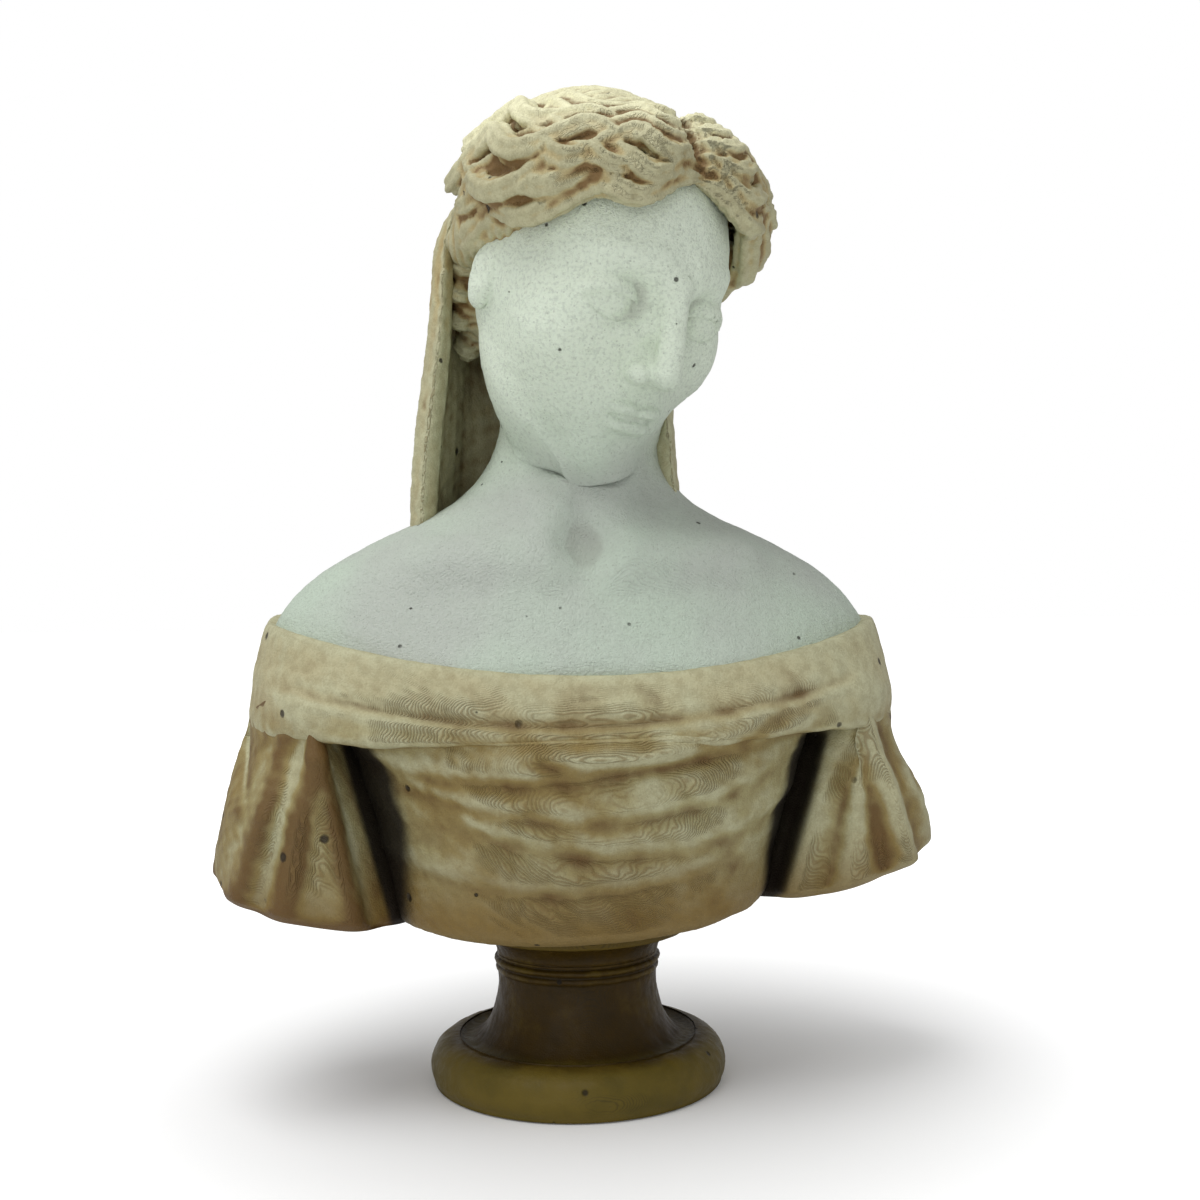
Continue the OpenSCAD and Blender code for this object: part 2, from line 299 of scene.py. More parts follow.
def store_hollows(piece, reach=10, depth=0.5):
    """Keeps how far each point lies in a hollow (+) or on a ridge (-), for the wash of the finish: on the
    flesh the hollows carry stain and painted shade, and elsewhere the ridges take cream that is partly
    rubbed wear and partly painted highlight.
    """
    edges = read_edges(piece)
    points = read_points(piece)
    calm = points.copy()
    for _ in range(reach):
        calm = neighbour_mean(calm, edges)
    sink = ((calm - points) * read_normals(piece)).sum(1) / depth
    sink = neighbour_mean(np.clip(sink, -1, 1)[:, None], edges)[:, 0]
    layer = piece.data.attributes.new("hollow", "FLOAT", "POINT")
    layer.data.foreach_set("value", sink.astype(np.float32))


def store_slot_shade(piece, inside):
    """Keeps how deep each point lies in the slots beside the trunk, as the mask of the painted shade that
    darkens them near to black.
    """
    layer = piece.data.attributes.new("slot", "FLOAT", "POINT")
    layer.data.foreach_set("value", inside.astype(np.float32))


def ripple(p, scale, seed):
    """A smooth wandering value between about -1 and 1, from a few crossing waves."""
    total = np.zeros(len(p))
    for k in range(5):
        angle = seed * 1.7 + k * 2.4
        way = np.array([math.cos(angle), math.sin(angle * 1.3), math.cos(angle * 0.7 + 1)])
        total += np.sin(p @ way * (2 * math.pi / scale) * (1 + 0.23 * k) + angle * 3)
    return total / 3.2


def finish_piece(piece, slot, finish, *nodes):
    """Gives a piece its finish, its body and the nodes that it stands for."""
    piece.data.materials.clear()
    piece.data.materials.append(finish)
    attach(piece, "root")
    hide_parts(*nodes)


# ---- the head's own frame ----


def head_matrix(setup):
    """Places a shape drawn about the skull's centre, facing -Y."""
    return (Matrix.Rotation(math.radians(setup.head_yaw), 3, "Z")
            @ Matrix.Rotation(math.radians(setup.head_bow), 3, "X")
            @ Matrix.Rotation(math.radians(setup.head_lean), 3, "Y"))


def to_head(p, setup):
    """Points of the bust, seen from the head's frame."""
    return (p - HEAD_AT) @ np.array(head_matrix(setup))


def from_head(points, setup):
    """Points of the head's frame, put on the bust."""
    return np.array(points, float) @ np.array(head_matrix(setup)).T + HEAD_AT


# ---- flesh ----

TORSO_ROWS = [
    (60, 26, 22, 15, 0), (78, 40, 33, 20, 0), (90, 62, 38, 25, 0), (96, 69, 38.6, 26, 0),
    (102, 68.9, 35.5, 26.5, 0), (107, 66.6, 32.8, 26, 0), (112, 62.8, 30, 25, 0), (117, 57, 27.3, 24, 0),
    (121, 50.3, 25, 22.5, 0), (125, 42.5, 22.8, 21, 0), (129, 33.6, 19, 20, 0), (134, 26, 14.5, 19.5, 0.4),
    (141, 20.6, 10.8, 19, 1), (150, 18.2, 9, 18.5, 2), (160, 17.6, 9, 18, 3), (170, 16.5, 9, 17, 4)]


def torso_form(p):
    """The shoulders, chest and neck."""
    row = smooth_rows(TORSO_ROWS, p[:, 2])
    deep = np.where(p[:, 1] < 0, row[:, 2], row[:, 3])
    power = 2.35
    across = np.abs((p[:, 0] - row[:, 4]) / row[:, 1]) ** power
    along = np.abs(p[:, 1] / deep) ** power
    share = np.maximum(across + along, 1e-9) ** (1 / power)
    body = (share - 1) * np.minimum(row[:, 1], deep)
    return np.maximum(body, np.maximum(60 - p[:, 2], p[:, 2] - 172) * 0.8)


FACE_LUMPS = [
    # the rough block of the face: centre and radii, before the stretch
    ((0, -7, -6), (21.5, 20.6, 26)), ((0, -9, -19), (16.5, 16.5, 15)), ((0, -21.4, -31), (7.2, 5, 5)),
    ((14, -15.5, -10), (8, 8, 8)), ((-14, -15.5, -10), (8, 8, 8)),
    ((0, -28.2, 1), (2.6, 2.6, 4)), ((0, -30, -4), (2.8, 2.9, 5)), ((0, -31.8, -8.5), (3, 3, 4.5)),
    ((0, -32.8, -11.4), (3, 3.1, 3)), ((0, -27.5, -12.5), (4.4, 4.4, 3)),
    ((3.7, -28.8, -13.2), (2.3, 3.2, 2.2)), ((-3.7, -28.8, -13.2), (2.3, 3.2, 2.2)),
    ((0, -19.8, -21), (10.4, 7.2, 7.4)), ((0, -26.9, -20.4), (5.4, 2.4, 1.6)),
    ((0, -26.7, -23.6), (5.1, 2.7, 1.9)),
    ((22.3, 3.2, -7), (2.8, 4.2, 7.2)), ((-22.3, 3.2, -7), (2.8, 4.2, 7.2))]


def head_form(q):
    """The skull, face and ears, about the skull's centre. The whole face is stretched by FACE_SCALE."""
    form = ellipsoid(q, (0, 3, 4), (25.5, 31.5, 29.5))
    q = (q - FACE_ROOT) / FACE_SCALE + FACE_ROOT
    form = join(form, ellipsoid(q, (0, -7, -6), (21.5, 20.6, 26)), 9)
    form = join(form, ellipsoid(q, (0, -9, -19), (16.5, 16.5, 15)), 7)
    form = join(form, ellipsoid(q, (0, -21.4, -31), (7.2, 5, 5)), 6)
    m = q.copy()
    m[:, 0] = np.abs(m[:, 0])
    form = join(form, ellipsoid(m, (14, -15.5, -10), (8, 8, 8)), 6)
    form = join(form, rod(m, (4, -25.4, 6.4), (14, -20.9, 5.6), 1.7, 1.5), 3)
    form = carve(form, ellipsoid(m, (11, -31, -1.8), (8.8, 8.4, 6.6)), 1.8)
    form = join(form, rod(m, (0, -27.4, 3), (0, -33, -11.6), 2.1, 2.8), 2.6)
    form = join(form, ellipsoid(m, (0, -27.5, -12.5), (4.4, 4.4, 3)), 2)
    form = join(form, ellipsoid(m, (3.7, -28.8, -13.2), (2.3, 3.2, 2.2)), 1.0)
    form = carve(form, ellipsoid(m, (2, -30.6, -16), (1.2, 2, 1.1)), 0.7)
    # muzzle and lips
    form = join(form, ellipsoid(m, (0, -19.8, -21), (10, 6.8, 7)), 5)
    form = join(form, ellipsoid(m, (2.3, -26.9, -20.4), (4.1, 2.5, 1.6)), 0.7)
    form = join(form, ellipsoid(m, (0, -26.7, -23.6), (5.1, 2.7, 1.9)), 0.7)
    form = carve(form, ellipsoid(m, (0, -29.4, -21.95), (6.8, 3, 0.4)), 0.35)
    form = carve(form, ellipsoid(m, (0, -29.3, -27.2), (5, 2.4, 1.5)), 2)
    form = carve(form, rod(m, (0, -28.9, -16.8), (0, -29.3, -18.8), 0.6, 0.9), 1)
    # lids over the eyes
    form = join(form, ellipsoid(m, (10.3, -19.2, -2.8), (6.4, 6.2, 5.4)), 0.8)
    slit = 0.05 * (m[:, 0] - 10.3) ** 2
    upper = np.maximum(ellipsoid(m, (10.6, -19.2, -2.6), (7.5, 7.1, 6.1)), -1.2 - slit - m[:, 2])
    lower = np.maximum(ellipsoid(m, (10.6, -19.2, -3.1), (7.3, 6.9, 6.1)), m[:, 2] + 5.9 - slit)
    form = join(form, upper, 0.3)
    form = join(form, lower, 0.3)
    # ears
    ear = ellipsoid(m, (22.3, 3.2, -7), (2.6, 4, 7))
    ear = carve(ear, ellipsoid(m, (25, 2.2, -6), (1.6, 2.3, 4.4)), 0.6)
    return join(form, ear, 1.2)


def flesh_form(setup):
    """The whole nude block, as a distance."""
    left_mastoid, right_mastoid = from_head([(18, 7, -20), (-18, 7, -20)], setup)

    def form(p):
        neck = torso_form(p)
        for start, end in ((left_mastoid, (4, -21.5, 122)), (right_mastoid, (-6, -21.5, 122))):
            neck = join(neck, rod(p, start, end, 4.5, 2.4), 10)
        for side in (-1, 1):
            bone = rod(p, (side * 8 - 1, -25.4, 118), (side * 34, -21.5, 118.5), 2.0, 2.2)
            neck = join(neck, bone, 10)
        neck = carve(neck, ellipsoid(p, (-1, -28, 124), (4, 4.6, 4)), 9)
        for side in (-1, 1):
            neck = join(neck, ellipsoid(p, (side * 24, -25, 84), (20, 14, 15)), 8)
        return join(head_form(to_head(p, setup)), neck, 6.5)

    return form


def carve_flesh(setup, finish):
    """The head, neck, shoulders and chest, in one block."""
    bm = bmesh.new()
    place = Matrix.Translation(Vector(HEAD_AT)) @ head_matrix(setup).to_4x4()
    lump(bm, (0, 3, 4), (25.5, 31.5, 29.5), fineness=4)
    bmesh.ops.transform(bm, matrix=place, verts=bm.verts)
    for centre, radii in FACE_LUMPS:
        centre = (np.array(centre) - FACE_ROOT) * FACE_SCALE + FACE_ROOT
        radii = np.array(radii) * FACE_SCALE
        shape = place @ Matrix.Translation(Vector(centre)) @ Matrix.Diagonal((*radii, 1))
        bmesh.ops.create_icosphere(bm, subdivisions=4, radius=1, matrix=shape)
    piece = new_mesh("flesh", bm)
    shoulders = wrapped_ball("shoulders", 160, 90, shoulder_skin)
    bm = bmesh.new()
    bm.from_mesh(piece.data)
    bm.from_mesh(shoulders.data)
    bm.to_mesh(piece.data)
    bm.free()
    bpy.data.objects.remove(shoulders)
    voxel_union(piece, 0.7)
    form = flesh_form(setup)
    press(piece, form, 4)
    relax(piece, 2)
    press(piece, form, 2)
    refine(piece, lambda middle: on_face(to_head(middle, setup)), 2)
    for _ in range(3):
        relax(piece, 1)
        press(piece, form, 1, 1.0)
    press(piece, form, 2, 1.0)
    relax(piece, 1)
    relax_where(piece, lambda points: ~on_face(to_head(points, setup)), 18)
    points = read_points(piece)
    away = read_normals(piece)
    worn = 0.1 * ripple(points, 9, 1) + 0.05 * ripple(points, 3.1, 2)
    write_points(piece, points + away * worn[:, None])
    # these hollows darken the flesh: partly stain, partly painted shade in the lids, nostrils and mouth
    store_hollows(piece, 60, 0.9)
    finish_piece(piece, "flesh_marble", finish, "head_and_shoulders")


def on_face(q):
    """Which points of the head's frame lie on the front of the face."""
    q = (q - FACE_ROOT) / FACE_SCALE + FACE_ROOT
    return (q[:, 1] < -14) & (np.abs(q[:, 0]) < 19) & (q[:, 2] > -30) & (q[:, 2] < 9)


def shoulder_skin(turn, level):
    """A closed skin through the torso's sections."""
    z = 115 + 57 * np.sign(level) * np.minimum(1, np.abs(level) / 0.9)
    z = np.where(level < 0, 115 + 55 * np.maximum(level / 0.9, -1), z)
    close = np.minimum(1, (1 - np.abs(level)) / 0.1)
    row = smooth_rows(TORSO_ROWS, z)
    power = 2 / 2.35
    deep = np.where(np.sin(turn) < 0, row[:, 2], row[:, 3])
    x = row[:, 4] + close * row[:, 1] * np.sign(np.cos(turn)) * np.abs(np.cos(turn)) ** power
    y = close * deep * np.sign(np.sin(turn)) * np.abs(np.sin(turn)) ** power
    return np.stack([x, y, z], 1)


# ---- hair ----


def on_cap(turn, rise, out=0.0):
    """A point over the hair cap: turn is the angle from the parting round to the nape, rise the
    height angle."""
    a, b = math.radians(turn), math.radians(rise)
    radii = np.array([28.5, 33.5, 31.0]) + out
    return CAP_AT + radii * np.array([math.sin(a) * math.cos(b), -math.cos(a) * math.cos(b), math.sin(b)])


def lock_path(side, start, end, rise_start, rise_end, swing, beats, phase, bulge, steps=26):
    """A wavy lock from the parting back over the temple, as points and radii in the head's frame."""
    path, radii = [], []
    for k in range(steps + 1):
        t = k / steps
        wave = math.sin(2 * math.pi * beats * t + phase)
        turn = start + (1.1 * end - start) * t
        fade = min(1, t * 4) * min(1, (1 - t) * 4)
        rise = rise_start + (rise_end - rise_start) * t ** 1.15 + swing * wave * fade
        lift = bulge * math.sin(math.pi * t ** 0.7) + 1.1 * math.cos(2 * math.pi * beats * t + phase + 0.8)
        lift -= 3.0 * max(0, (t - 0.75) / 0.25) ** 2
        point = on_cap(turn, rise, lift)
        path.append((side * point[0], point[1], point[2]))
        radii.append(1.0 + 2.1 * math.sin(math.pi * (0.1 + 0.86 * t)))
    return path, radii


LOCKS = [
    # start, end, rise at start and end, swing, beats, phase, bulge
    (1, 104, 36, -24, 4.0, 3.1, 0.0, 2.6),
    (1, 111, 41, -14, 5.0, 3.3, 0.6, 4.2),
    (1, 118, 46, -4, 5.4, 3.5, 1.5, 4.8),
    (2, 126, 52, 7, 5.0, 3.3, 2.3, 4.4),
    (3, 132, 58, 19, 4.4, 3.0, 2.9, 2.8),
    (4, 134, 64, 30, 3.6, 2.8, 3.4, 1.2),
    (26, 114, 33, -20, 5.0, 2.4, 3.6, 5.6),
    (34, 122, 39, -7, 6.0, 2.6, 4.6, 6.4),
    (44, 130, 46, 8, 5.4, 2.5, 5.8, 5.6),
]


def hair_locks():
    """Every waved lock of both sides."""
    made = []
    for side in (-1, 1):
        for lock in LOCKS:
            start, end, rise_start, rise_end, swing, beats, phase, bulge = lock
            made.append(lock_path(side, start, end, rise_start, rise_end, swing, beats,
                                  phase + (0.7 if side > 0 else 0),
                                  bulge + (1.6 if side > 0 else 0.9 if rise_end < 0 else -0.9)))
    return made


def nearest_lock(q, locks):
    """For each point: the turn round its nearest lock's axis, the way along it, and the distance
    in lock radii."""
    axis = np.concatenate([np.array(path) for path, _ in locks])
    way = np.concatenate([np.gradient(np.array(path), axis=0) for path, _ in locks])
    way /= np.sqrt((way * way).sum(1))[:, None]
    radii = np.concatenate([np.array(r) for _, r in locks])
    travel = np.concatenate([np.arange(len(path)) * 1.0 for path, _ in locks])
    turn, along, far = np.empty(len(q)), np.empty(len(q)), np.empty(len(q))
    for lo in range(0, len(q), 20000):
        part = q[lo:lo + 20000]
        gap = np.sqrt(((part[:, None, :] - axis[None]) ** 2).sum(2)) / radii[None]
        best = gap.argmin(1)
        offset = part - axis[best]
        out = part - CAP_AT
        out /= np.sqrt((out * out).sum(1))[:, None]
        side = np.cross(way[best], out)
        turn[lo:lo + 20000] = np.arctan2((offset * side).sum(1), (offset * out).sum(1))
        along[lo:lo + 20000] = travel[best] + (offset * way[best]).sum(1) / 3
        far[lo:lo + 20000] = gap.min(1)
    return turn, along, far


def carve_hair(setup, finish):
    """The combed crown and the waved locks round the face, in one block."""
    bm = bmesh.new()
    lump(bm, (0, 4.5, 8), (27.8, 29.8, 26.8), fineness=5)
    lump(bm, (0, 6, 8.8), (28.8, 30, 26.2), fineness=5)
    locks = hair_locks()
    for path, radii in locks:
        chain(bm, path, radii, 0.95)
    for side in (-1, 1):
        chain(bm, [(side * 25, -11, 9), (side * 26, -3, 4), (side * 26, 5, 0.5), (side * 24.5, 13, -5),
                   (side * 20, 20, -8)], [3.6, 4.6, 5.4, 6, 5.5], fineness=3)
    chain(bm, [(27.2, -11.5, 4), (28.3, -6, -2), (27.3, 1, -7), (24, 10, -9)], [3, 3.8, 4.4, 5.2],
          fineness=3)
    bmesh.ops.transform(bm, matrix=Matrix.Translation(Vector(HEAD_AT)) @ head_matrix(setup).to_4x4(),
                        verts=bm.verts)
    piece = new_mesh("hair_front", bm)
    voxel_union(piece, 0.6)
    relax(piece, 4)
    points = read_points(piece)
    q = to_head(points, setup)
    away = read_normals(piece)
    turn, along, far = nearest_lock(q, locks)
    on_lock = np.clip((1.7 - far) / 0.5, 0, 1)
    strands = np.sin(turn * 5 + 0.7 * np.sin(along * 0.5)) * 0.34 * on_lock
    sweep = np.arctan2(np.abs(q[:, 0]), 6 - q[:, 1] * 0.25)
    comb = q[:, 1] * 0.9 + 0.12 * q[:, 0] ** 2 / 10
    crown = 0.28 * np.sin(comb * 2.4 + 0.6 * sweep + 1.4 * ripple(q, 24, 3)) * (1 - on_lock)
    parting = -0.5 * np.exp(-(q[:, 0] / 1.6) ** 2) * window(q[:, 1], -40, 12, 8)
    rough = 0.12 * ripple(points, 5, 4)
    points = points + away * (strands + crown + parting + rough)[:, None]
    write_points(piece, points)
    store_hollows(piece, 20, 0.42)
    finish_piece(piece, "honey_marble", finish, "hair_front")


def carve_chignon(setup, finish):
    """The knot of curls low on the nape."""
    bm = bmesh.new()
    lump(bm, (0, 20, -18), (19.5, 12.5, 15), fineness=4)
    for ring_z, ring_r, count in ((-31, 13, 9), (-25, 18, 12), (-19, 20.5, 13), (-13, 20.5, 13),
                                  (-7, 17, 11)):
        for k in range(count):
            a = math.radians(-100 + 200 * (k + 0.5 * (ring_z % 2)) / (count - 1))
            at = (ring_r * math.sin(a), 20 + ring_r * 0.66 * math.cos(a), ring_z + 1.5 * math.sin(k * 2.3))
            turn = Matrix.Rotation(a, 4, "Z") @ Matrix.Rotation(0.7 * math.sin(k * 1.9 + ring_z), 4, "Y")
            lump(bm, at, (4.3, 2.9, 2.6 + 0.7 * math.sin(k * 3.1)), turn, 2)
    bmesh.ops.transform(bm, matrix=Matrix.Translation(Vector(HEAD_AT)) @ head_matrix(setup).to_4x4(),
                        verts=bm.verts)
    piece = new_mesh("chignon", bm)
    voxel_union(piece, 0.6)
    relax(piece, 3)
    points = read_points(piece)
    q = to_head(points, setup)
    strands = 0.3 * np.sin(q[:, 2] * 3.1 + 2.2 * ripple(q, 9, 6)) + 0.15 * ripple(q, 3, 7)
    write_points(piece, points + read_normals(piece) * strands[:, None])
    store_hollows(piece, 10, 0.5)
    finish_piece(piece, "honey_marble", finish, "chignon")


# ---- veil ----

VEIL_ROWS = [
    # height, half width, back depth, sideways centre, thickness
    (94, 29, 36, -4.5, 4), (106, 30, 34.5, -4.5, 4.5), (118, 31, 32, -5, 5), (130, 31, 30, -5.5, 5.5),
    (145, 30, 29, -5.5, 5.5), (158, 29, 30, -5, 5.5), (170, 28, 32, -4.5, 5), (182, 26.5, 33, -5, 4.5),
    (192, 23.5, 31.5, -7, 4.5), (201, 17.5, 27, -8, 4), (207, 8, 21, -9, 3)]


def veil_skin(turn, level):
    """The veil as a thick cloth wrapped round the back: the ball's front half is its inner face."""
    z = 150.5 + 56.5 * np.clip(level / 0.96, -1, 1)
    row = smooth_rows(VEIL_ROWS, z)
    close = np.minimum(1, (1 - np.abs(level)) / 0.04)
    outer = np.sin(turn) >= 0
    # u runs from one front edge round the back to the other
    u = np.where(outer, turn / math.pi, 1 - (turn + math.pi) / math.pi)
    u = np.where(outer, u, -turn / math.pi)
    reach = math.radians(104)
    angle = (u - 0.5) * 2 * reach
    edge = np.minimum(1, np.minimum(u, 1 - u) / 0.035)
    inset = np.where(outer, 0, row[:, 4]) * np.sqrt(np.clip(edge, 0, 1)) * close
    inset = np.where(outer, row[:, 4] * 0.5 * (1 - np.sqrt(edge)), inset)
    fold = veil_folds(angle, z) * np.where(outer, 1, 0.4)
    wide = row[:, 1] - inset + fold
    deep = row[:, 2] - inset + fold
    x = row[:, 3] - wide * np.sin(angle)
    y = np.where(np.cos(angle) > 0, deep * np.cos(angle), 34 * np.cos(angle)) * 1.0
    return np.stack([x, y, z], 1)


def veil_folds(angle, z):
    """Long hanging folds, deeper towards the hem."""
    hang = np.clip((205 - z) / 55, 0, 1)
    return hang * (1.1 * np.sin(angle * 7 + 0.02 * z) + 0.6 * np.sin(angle * 13 + 1.3 + 0.015 * z))


def carve_veil(setup, finish):
    """The veil pinned behind the crown, hanging to the shoulder blades."""
    piece = wrapped_ball("veil", 360, 200, veil_skin)
    voxel_union(piece, 0.7)
    relax(piece, 3)
    points = read_points(piece)
    rough = 0.16 * ripple(points, 7, 8) + 0.08 * ripple(points, 3, 9)
    write_points(piece, points + read_normals(piece) * rough[:, None])
    store_hollows(piece, 14, 0.5)
    finish_piece(piece, "honey_marble", finish, "veil")


# ---- dress ----

DRESS_ROWS = [
    # level, half width, front, back, and 0 at the hem, 1 at the shelf over the sleeves, 2 at the neckline
    (-1.0, 1, 1, 1, 0), (-0.8, 36, 29, 21, 0), (-0.77, 40.6, 32.6, 24.6, 0.015),
    (-0.7, 43, 35.2, 26.8, 0.07),
    (-0.45, 45.3, 38.8, 28, 0.36), (-0.2, 48.6, 42.8, 28.5, 0.66), (0.02, 51.8, 44.4, 29, 0.9),
    (0.14, 54.5, 44.6, 29.2, 1.0), (0.22, 64, 44.4, 29.4, 1.02), (0.28, 71, 44.1, 29.8, 1.04),
    (0.34, 73, 44.2, 30, 1.1), (0.45, 72.8, 44, 30, 1.4), (0.6, 71, 42.4, 29.4, 1.75),
    (0.68, 69.6, 40.8, 28.8, 1.96), (0.72, 68.4, 39.2, 27.6, 2.0), (0.78, 65, 36.5, 25, 1.95),
    (0.85, 58, 30, 20, 1.6), (1.0, 1, 1, 1, 1.4)]


def hem_height(x):
    """The bust's lower edge climbs towards the arms."""
    return BUST_BASE + 0.0021 * x * x + 0.03 * x


def neckline_height(x, y):
    """The neckline dips at the front and climbs over the arms and the back."""
    return NECKLINE_Z + 0.0024 * x * x + 0.25 * np.clip(y, 0, 28)


def dress_skin(turn, level):
    """The trunk and the band round the arms as one closed skin."""
    row = smooth_rows(DRESS_ROWS, level)
    power = 2 / 2.55
    deep = np.where(np.sin(turn) < 0, row[:, 2], row[:, 3])
    x = row[:, 1] * np.sign(np.cos(turn)) * np.abs(np.cos(turn)) ** power
    y = deep * np.sign(np.sin(turn)) * np.abs(np.sin(turn)) ** power
    shelf = BAND_Z - 1
    low = hem_height(x) + (shelf - hem_height(x)) * np.minimum(row[:, 4], 1)
    z = np.where(row[:, 4] > 1, shelf + (neckline_height(x, y) - shelf) * (row[:, 4] - 1), low)
    return np.stack([x, y, z], 1)


SWAGS = [
    # middle x, lowest z, sag, half length, height, breadth above, breadth below, tilt
    (-5, 84.7, 0.0022, 56, -0.5, 1.5, 1.3, 0.0),
    (-8, 76.0, 0.0040, 38, 1.0, 4.2, 2.4, 0.06),
    (16, 78.5, 0.0042, 26, 0.9, 3.4, 1.9, 0.10),
    (-4, 67.5, 0.0052, 36, 0.8, 4.4, 2.4, -0.02),
    (8, 60.0, 0.0060, 34, 0.8, 4.6, 2.6, 0.03),
    (-10, 52.0, 0.0050, 30, 0.6, 4.2, 2.4, -0.03),
]


def swag_height(x, z):
    """How far the sagging folds of the front stand out."""
    total = np.zeros(len(x))
    for middle, low, sag, half, height, above, below, tilt in SWAGS:
        line = low + sag * (x - middle) ** 2 + tilt * (x - middle)
        gap = z - line
        ridge = np.exp(-(gap / np.where(gap > 0, above, below)) ** 2)
        crease = -0.45 * np.exp(-((gap + below * 1.5) / (below * 0.8)) ** 2)
        total += height * (ridge + crease) * window(x, middle - half, middle + half, 10)
    return total


def carve_bodice(setup, finish):
    """The dress round the trunk, with its off-the-shoulder band."""
    piece = wrapped_ball("bodice", 400, 230, dress_skin)
    points = read_points(piece)
    away = read_normals(piece)
    x, y, z = points.T
    front = window(-y, 14, 99, 12)
    back = window(y, 12, 99, 8)
    move = swag_height(x, z) * front
    move += back * (0.8 * np.sin(x * 0.42 + 0.3 * np.sin(z * 0.08)) * window(z, 44, 80, 8)
                    - 1.1 * np.exp(-((z - 86) / 1.4) ** 2))
    # gathers at the sleeve heads
    for side in (-1, 1):
        pad = np.exp(-((x - side * 60) / 8) ** 2 - ((z - 89) / 5) ** 2) * window(-y, 18, 99, 10)
        move += 1.2 * pad
    move += 0.25 * ripple(points, 16, 10) * window(z, 42, 92, 6) + 0.1 * ripple(points, 4, 11)
    open_wall = window(z, BUST_BASE + 1, 200, 3)
    write_points(piece, points + away * (move * open_wall)[:, None])
    relax(piece, 1)
    store_hollows(piece, 16, 0.5)
    x, y, z = read_points(piece).T
    # painted shade: the walls of the slots between trunk and sleeves, marked here to be painted near-black
    inside = window(np.abs(x), 41, 99, 4) * window(y, -27, 8, 4) * window(z, 0, BAND_Z - 3, 3)
    store_slot_shade(piece, inside)
    finish_piece(piece, "honey_marble", finish, "bodice")


def sleeve_skin(side, setup):
    """One open sleeve's skin, hanging from the band and widening towards its hem."""

    def skin(turn, level):
        t = np.clip((level + 0.86) / 1.72, 0, 1)
        close = np.minimum(1, (1 - np.abs(level)) / 0.14)
        rows = [(0, 41.2, HALF_SPAN - 2, 27, 20), (0.05, 40.2, HALF_SPAN - 0.2, 29.5, 22),
                (0.4, 44.5, HALF_SPAN - 2.6, 31, 24), (0.66, 49, HALF_SPAN - 5.2, 33, 25),
                (0.82, 52.5, HALF_SPAN - 7.4, 34, 26), (0.92, 55, HALF_SPAN - 8.6, 34, 26),
                (1, 58, HALF_SPAN - 12, 30, 22)]
        row = smooth_rows(rows, t)
        half = (row[:, 2] - row[:, 1]) / 2 * close
        middle = (row[:, 2] + row[:, 1]) / 2
        # towards the back the sleeve reaches in to the trunk, so that the slot is a blind groove
        inner = np.clip(np.sin(turn) + 0.55, 0, 0.5) * 2 * np.clip(-np.cos(turn) * 3, 0, 1) * close
        power = 0.82
        deep = np.where(np.sin(turn) < 0, row[:, 3], row[:, 4]) * close
        x = middle + half * np.sign(np.cos(turn)) * np.abs(np.cos(turn)) ** power - 5 * inner
        y = deep * np.sign(np.sin(turn)) * np.abs(np.sin(turn)) ** power
        z = hem_height(side * x) + (BAND_Z + 8 - hem_height(side * x)) * t
        # the head of the sleeve lies flush with the band
        band = np.maximum(1 - np.minimum(x / 73.2, 1) ** 2.55, 0) ** (1 / 2.55)
        flush = window(z, BAND_Z - 1, 999, 16)
        y = y + flush * (np.clip(y, -44.2 * band + 0.2, 30 * band) - y)
        return np.stack([side * x, y, z], 1)

    return skin


SLEEVE_FOLDS = [
    # place at the head of the sleeve, place at its hem, half breadth, height, the side that its
    # groove lies on
    (0.31, 0.0, 0.055, 2.2, 1), (0.40, 0.72, 0.06, 2.0, -1), (0.56, 0.97, 0.05, 1.0, -1)]


def carve_sleeve(side, name, setup, finish):
    """One sleeve with its pleats."""
    piece = wrapped_ball(name, 220, 150, sleeve_skin(side, setup))
    points = read_points(piece)
    away = read_normals(piece)
    x, y, z = np.abs(points[:, 0]), points[:, 1], points[:, 2]
    hem = hem_height(points[:, 0])
    drop = np.clip((BAND_Z + 6 - z) / (BAND_Z + 6 - hem), 0, 1)
    across = (x - 45) / (HALF_SPAN - 45)
    move = np.zeros(len(x))
    for top, foot, half, height, groove in SLEEVE_FOLDS:
        centre = top + (foot - top) * drop
        breadth = half * (0.6 + 0.6 * drop)
        ridge = np.exp(-((across - centre) / breadth) ** 2)
        hollow = np.exp(-((across - centre - 2.4 * groove * breadth) / (1.2 * breadth)) ** 2)
        move += height * np.clip(drop * 5, 0, 1) * (0.5 + 0.5 * drop) * (ridge - 0.9 * hollow)
    front = window(-y, 8, 99, 8)
    back = window(y, 8, 99, 8)
    rest = 0.7 * np.sin(points[:, 1] * 0.5 + side) * drop * (1 - front)
    move = move * front + rest * np.clip(1 - back * 0.3, 0, 1)
    move += 0.14 * ripple(points, 6, 12 + side)
    walls = window(z, hem + 0.8, BAND_Z + 2, 2.5)
    write_points(piece, points + away * [1, 1, 0] * (move * walls)[:, None])
    relax(piece, 1)
    store_hollows(piece, 14, 0.55)
    x, y, z = read_points(piece).T
    wall = 42 + 11 * np.clip((z - hem) / (BAND_Z - hem), 0, 1)
    # painted shade: the inner wall of the sleeve in the slot, marked here to be painted near-black
    inside = window(np.abs(x), 0, wall, 1.5) * window(y, -25, 8, 3) * window(z, 0, BAND_Z - 3, 3)
    store_slot_shade(piece, inside)
    finish_piece(piece, "honey_marble", finish, name)


# ---- socle ----


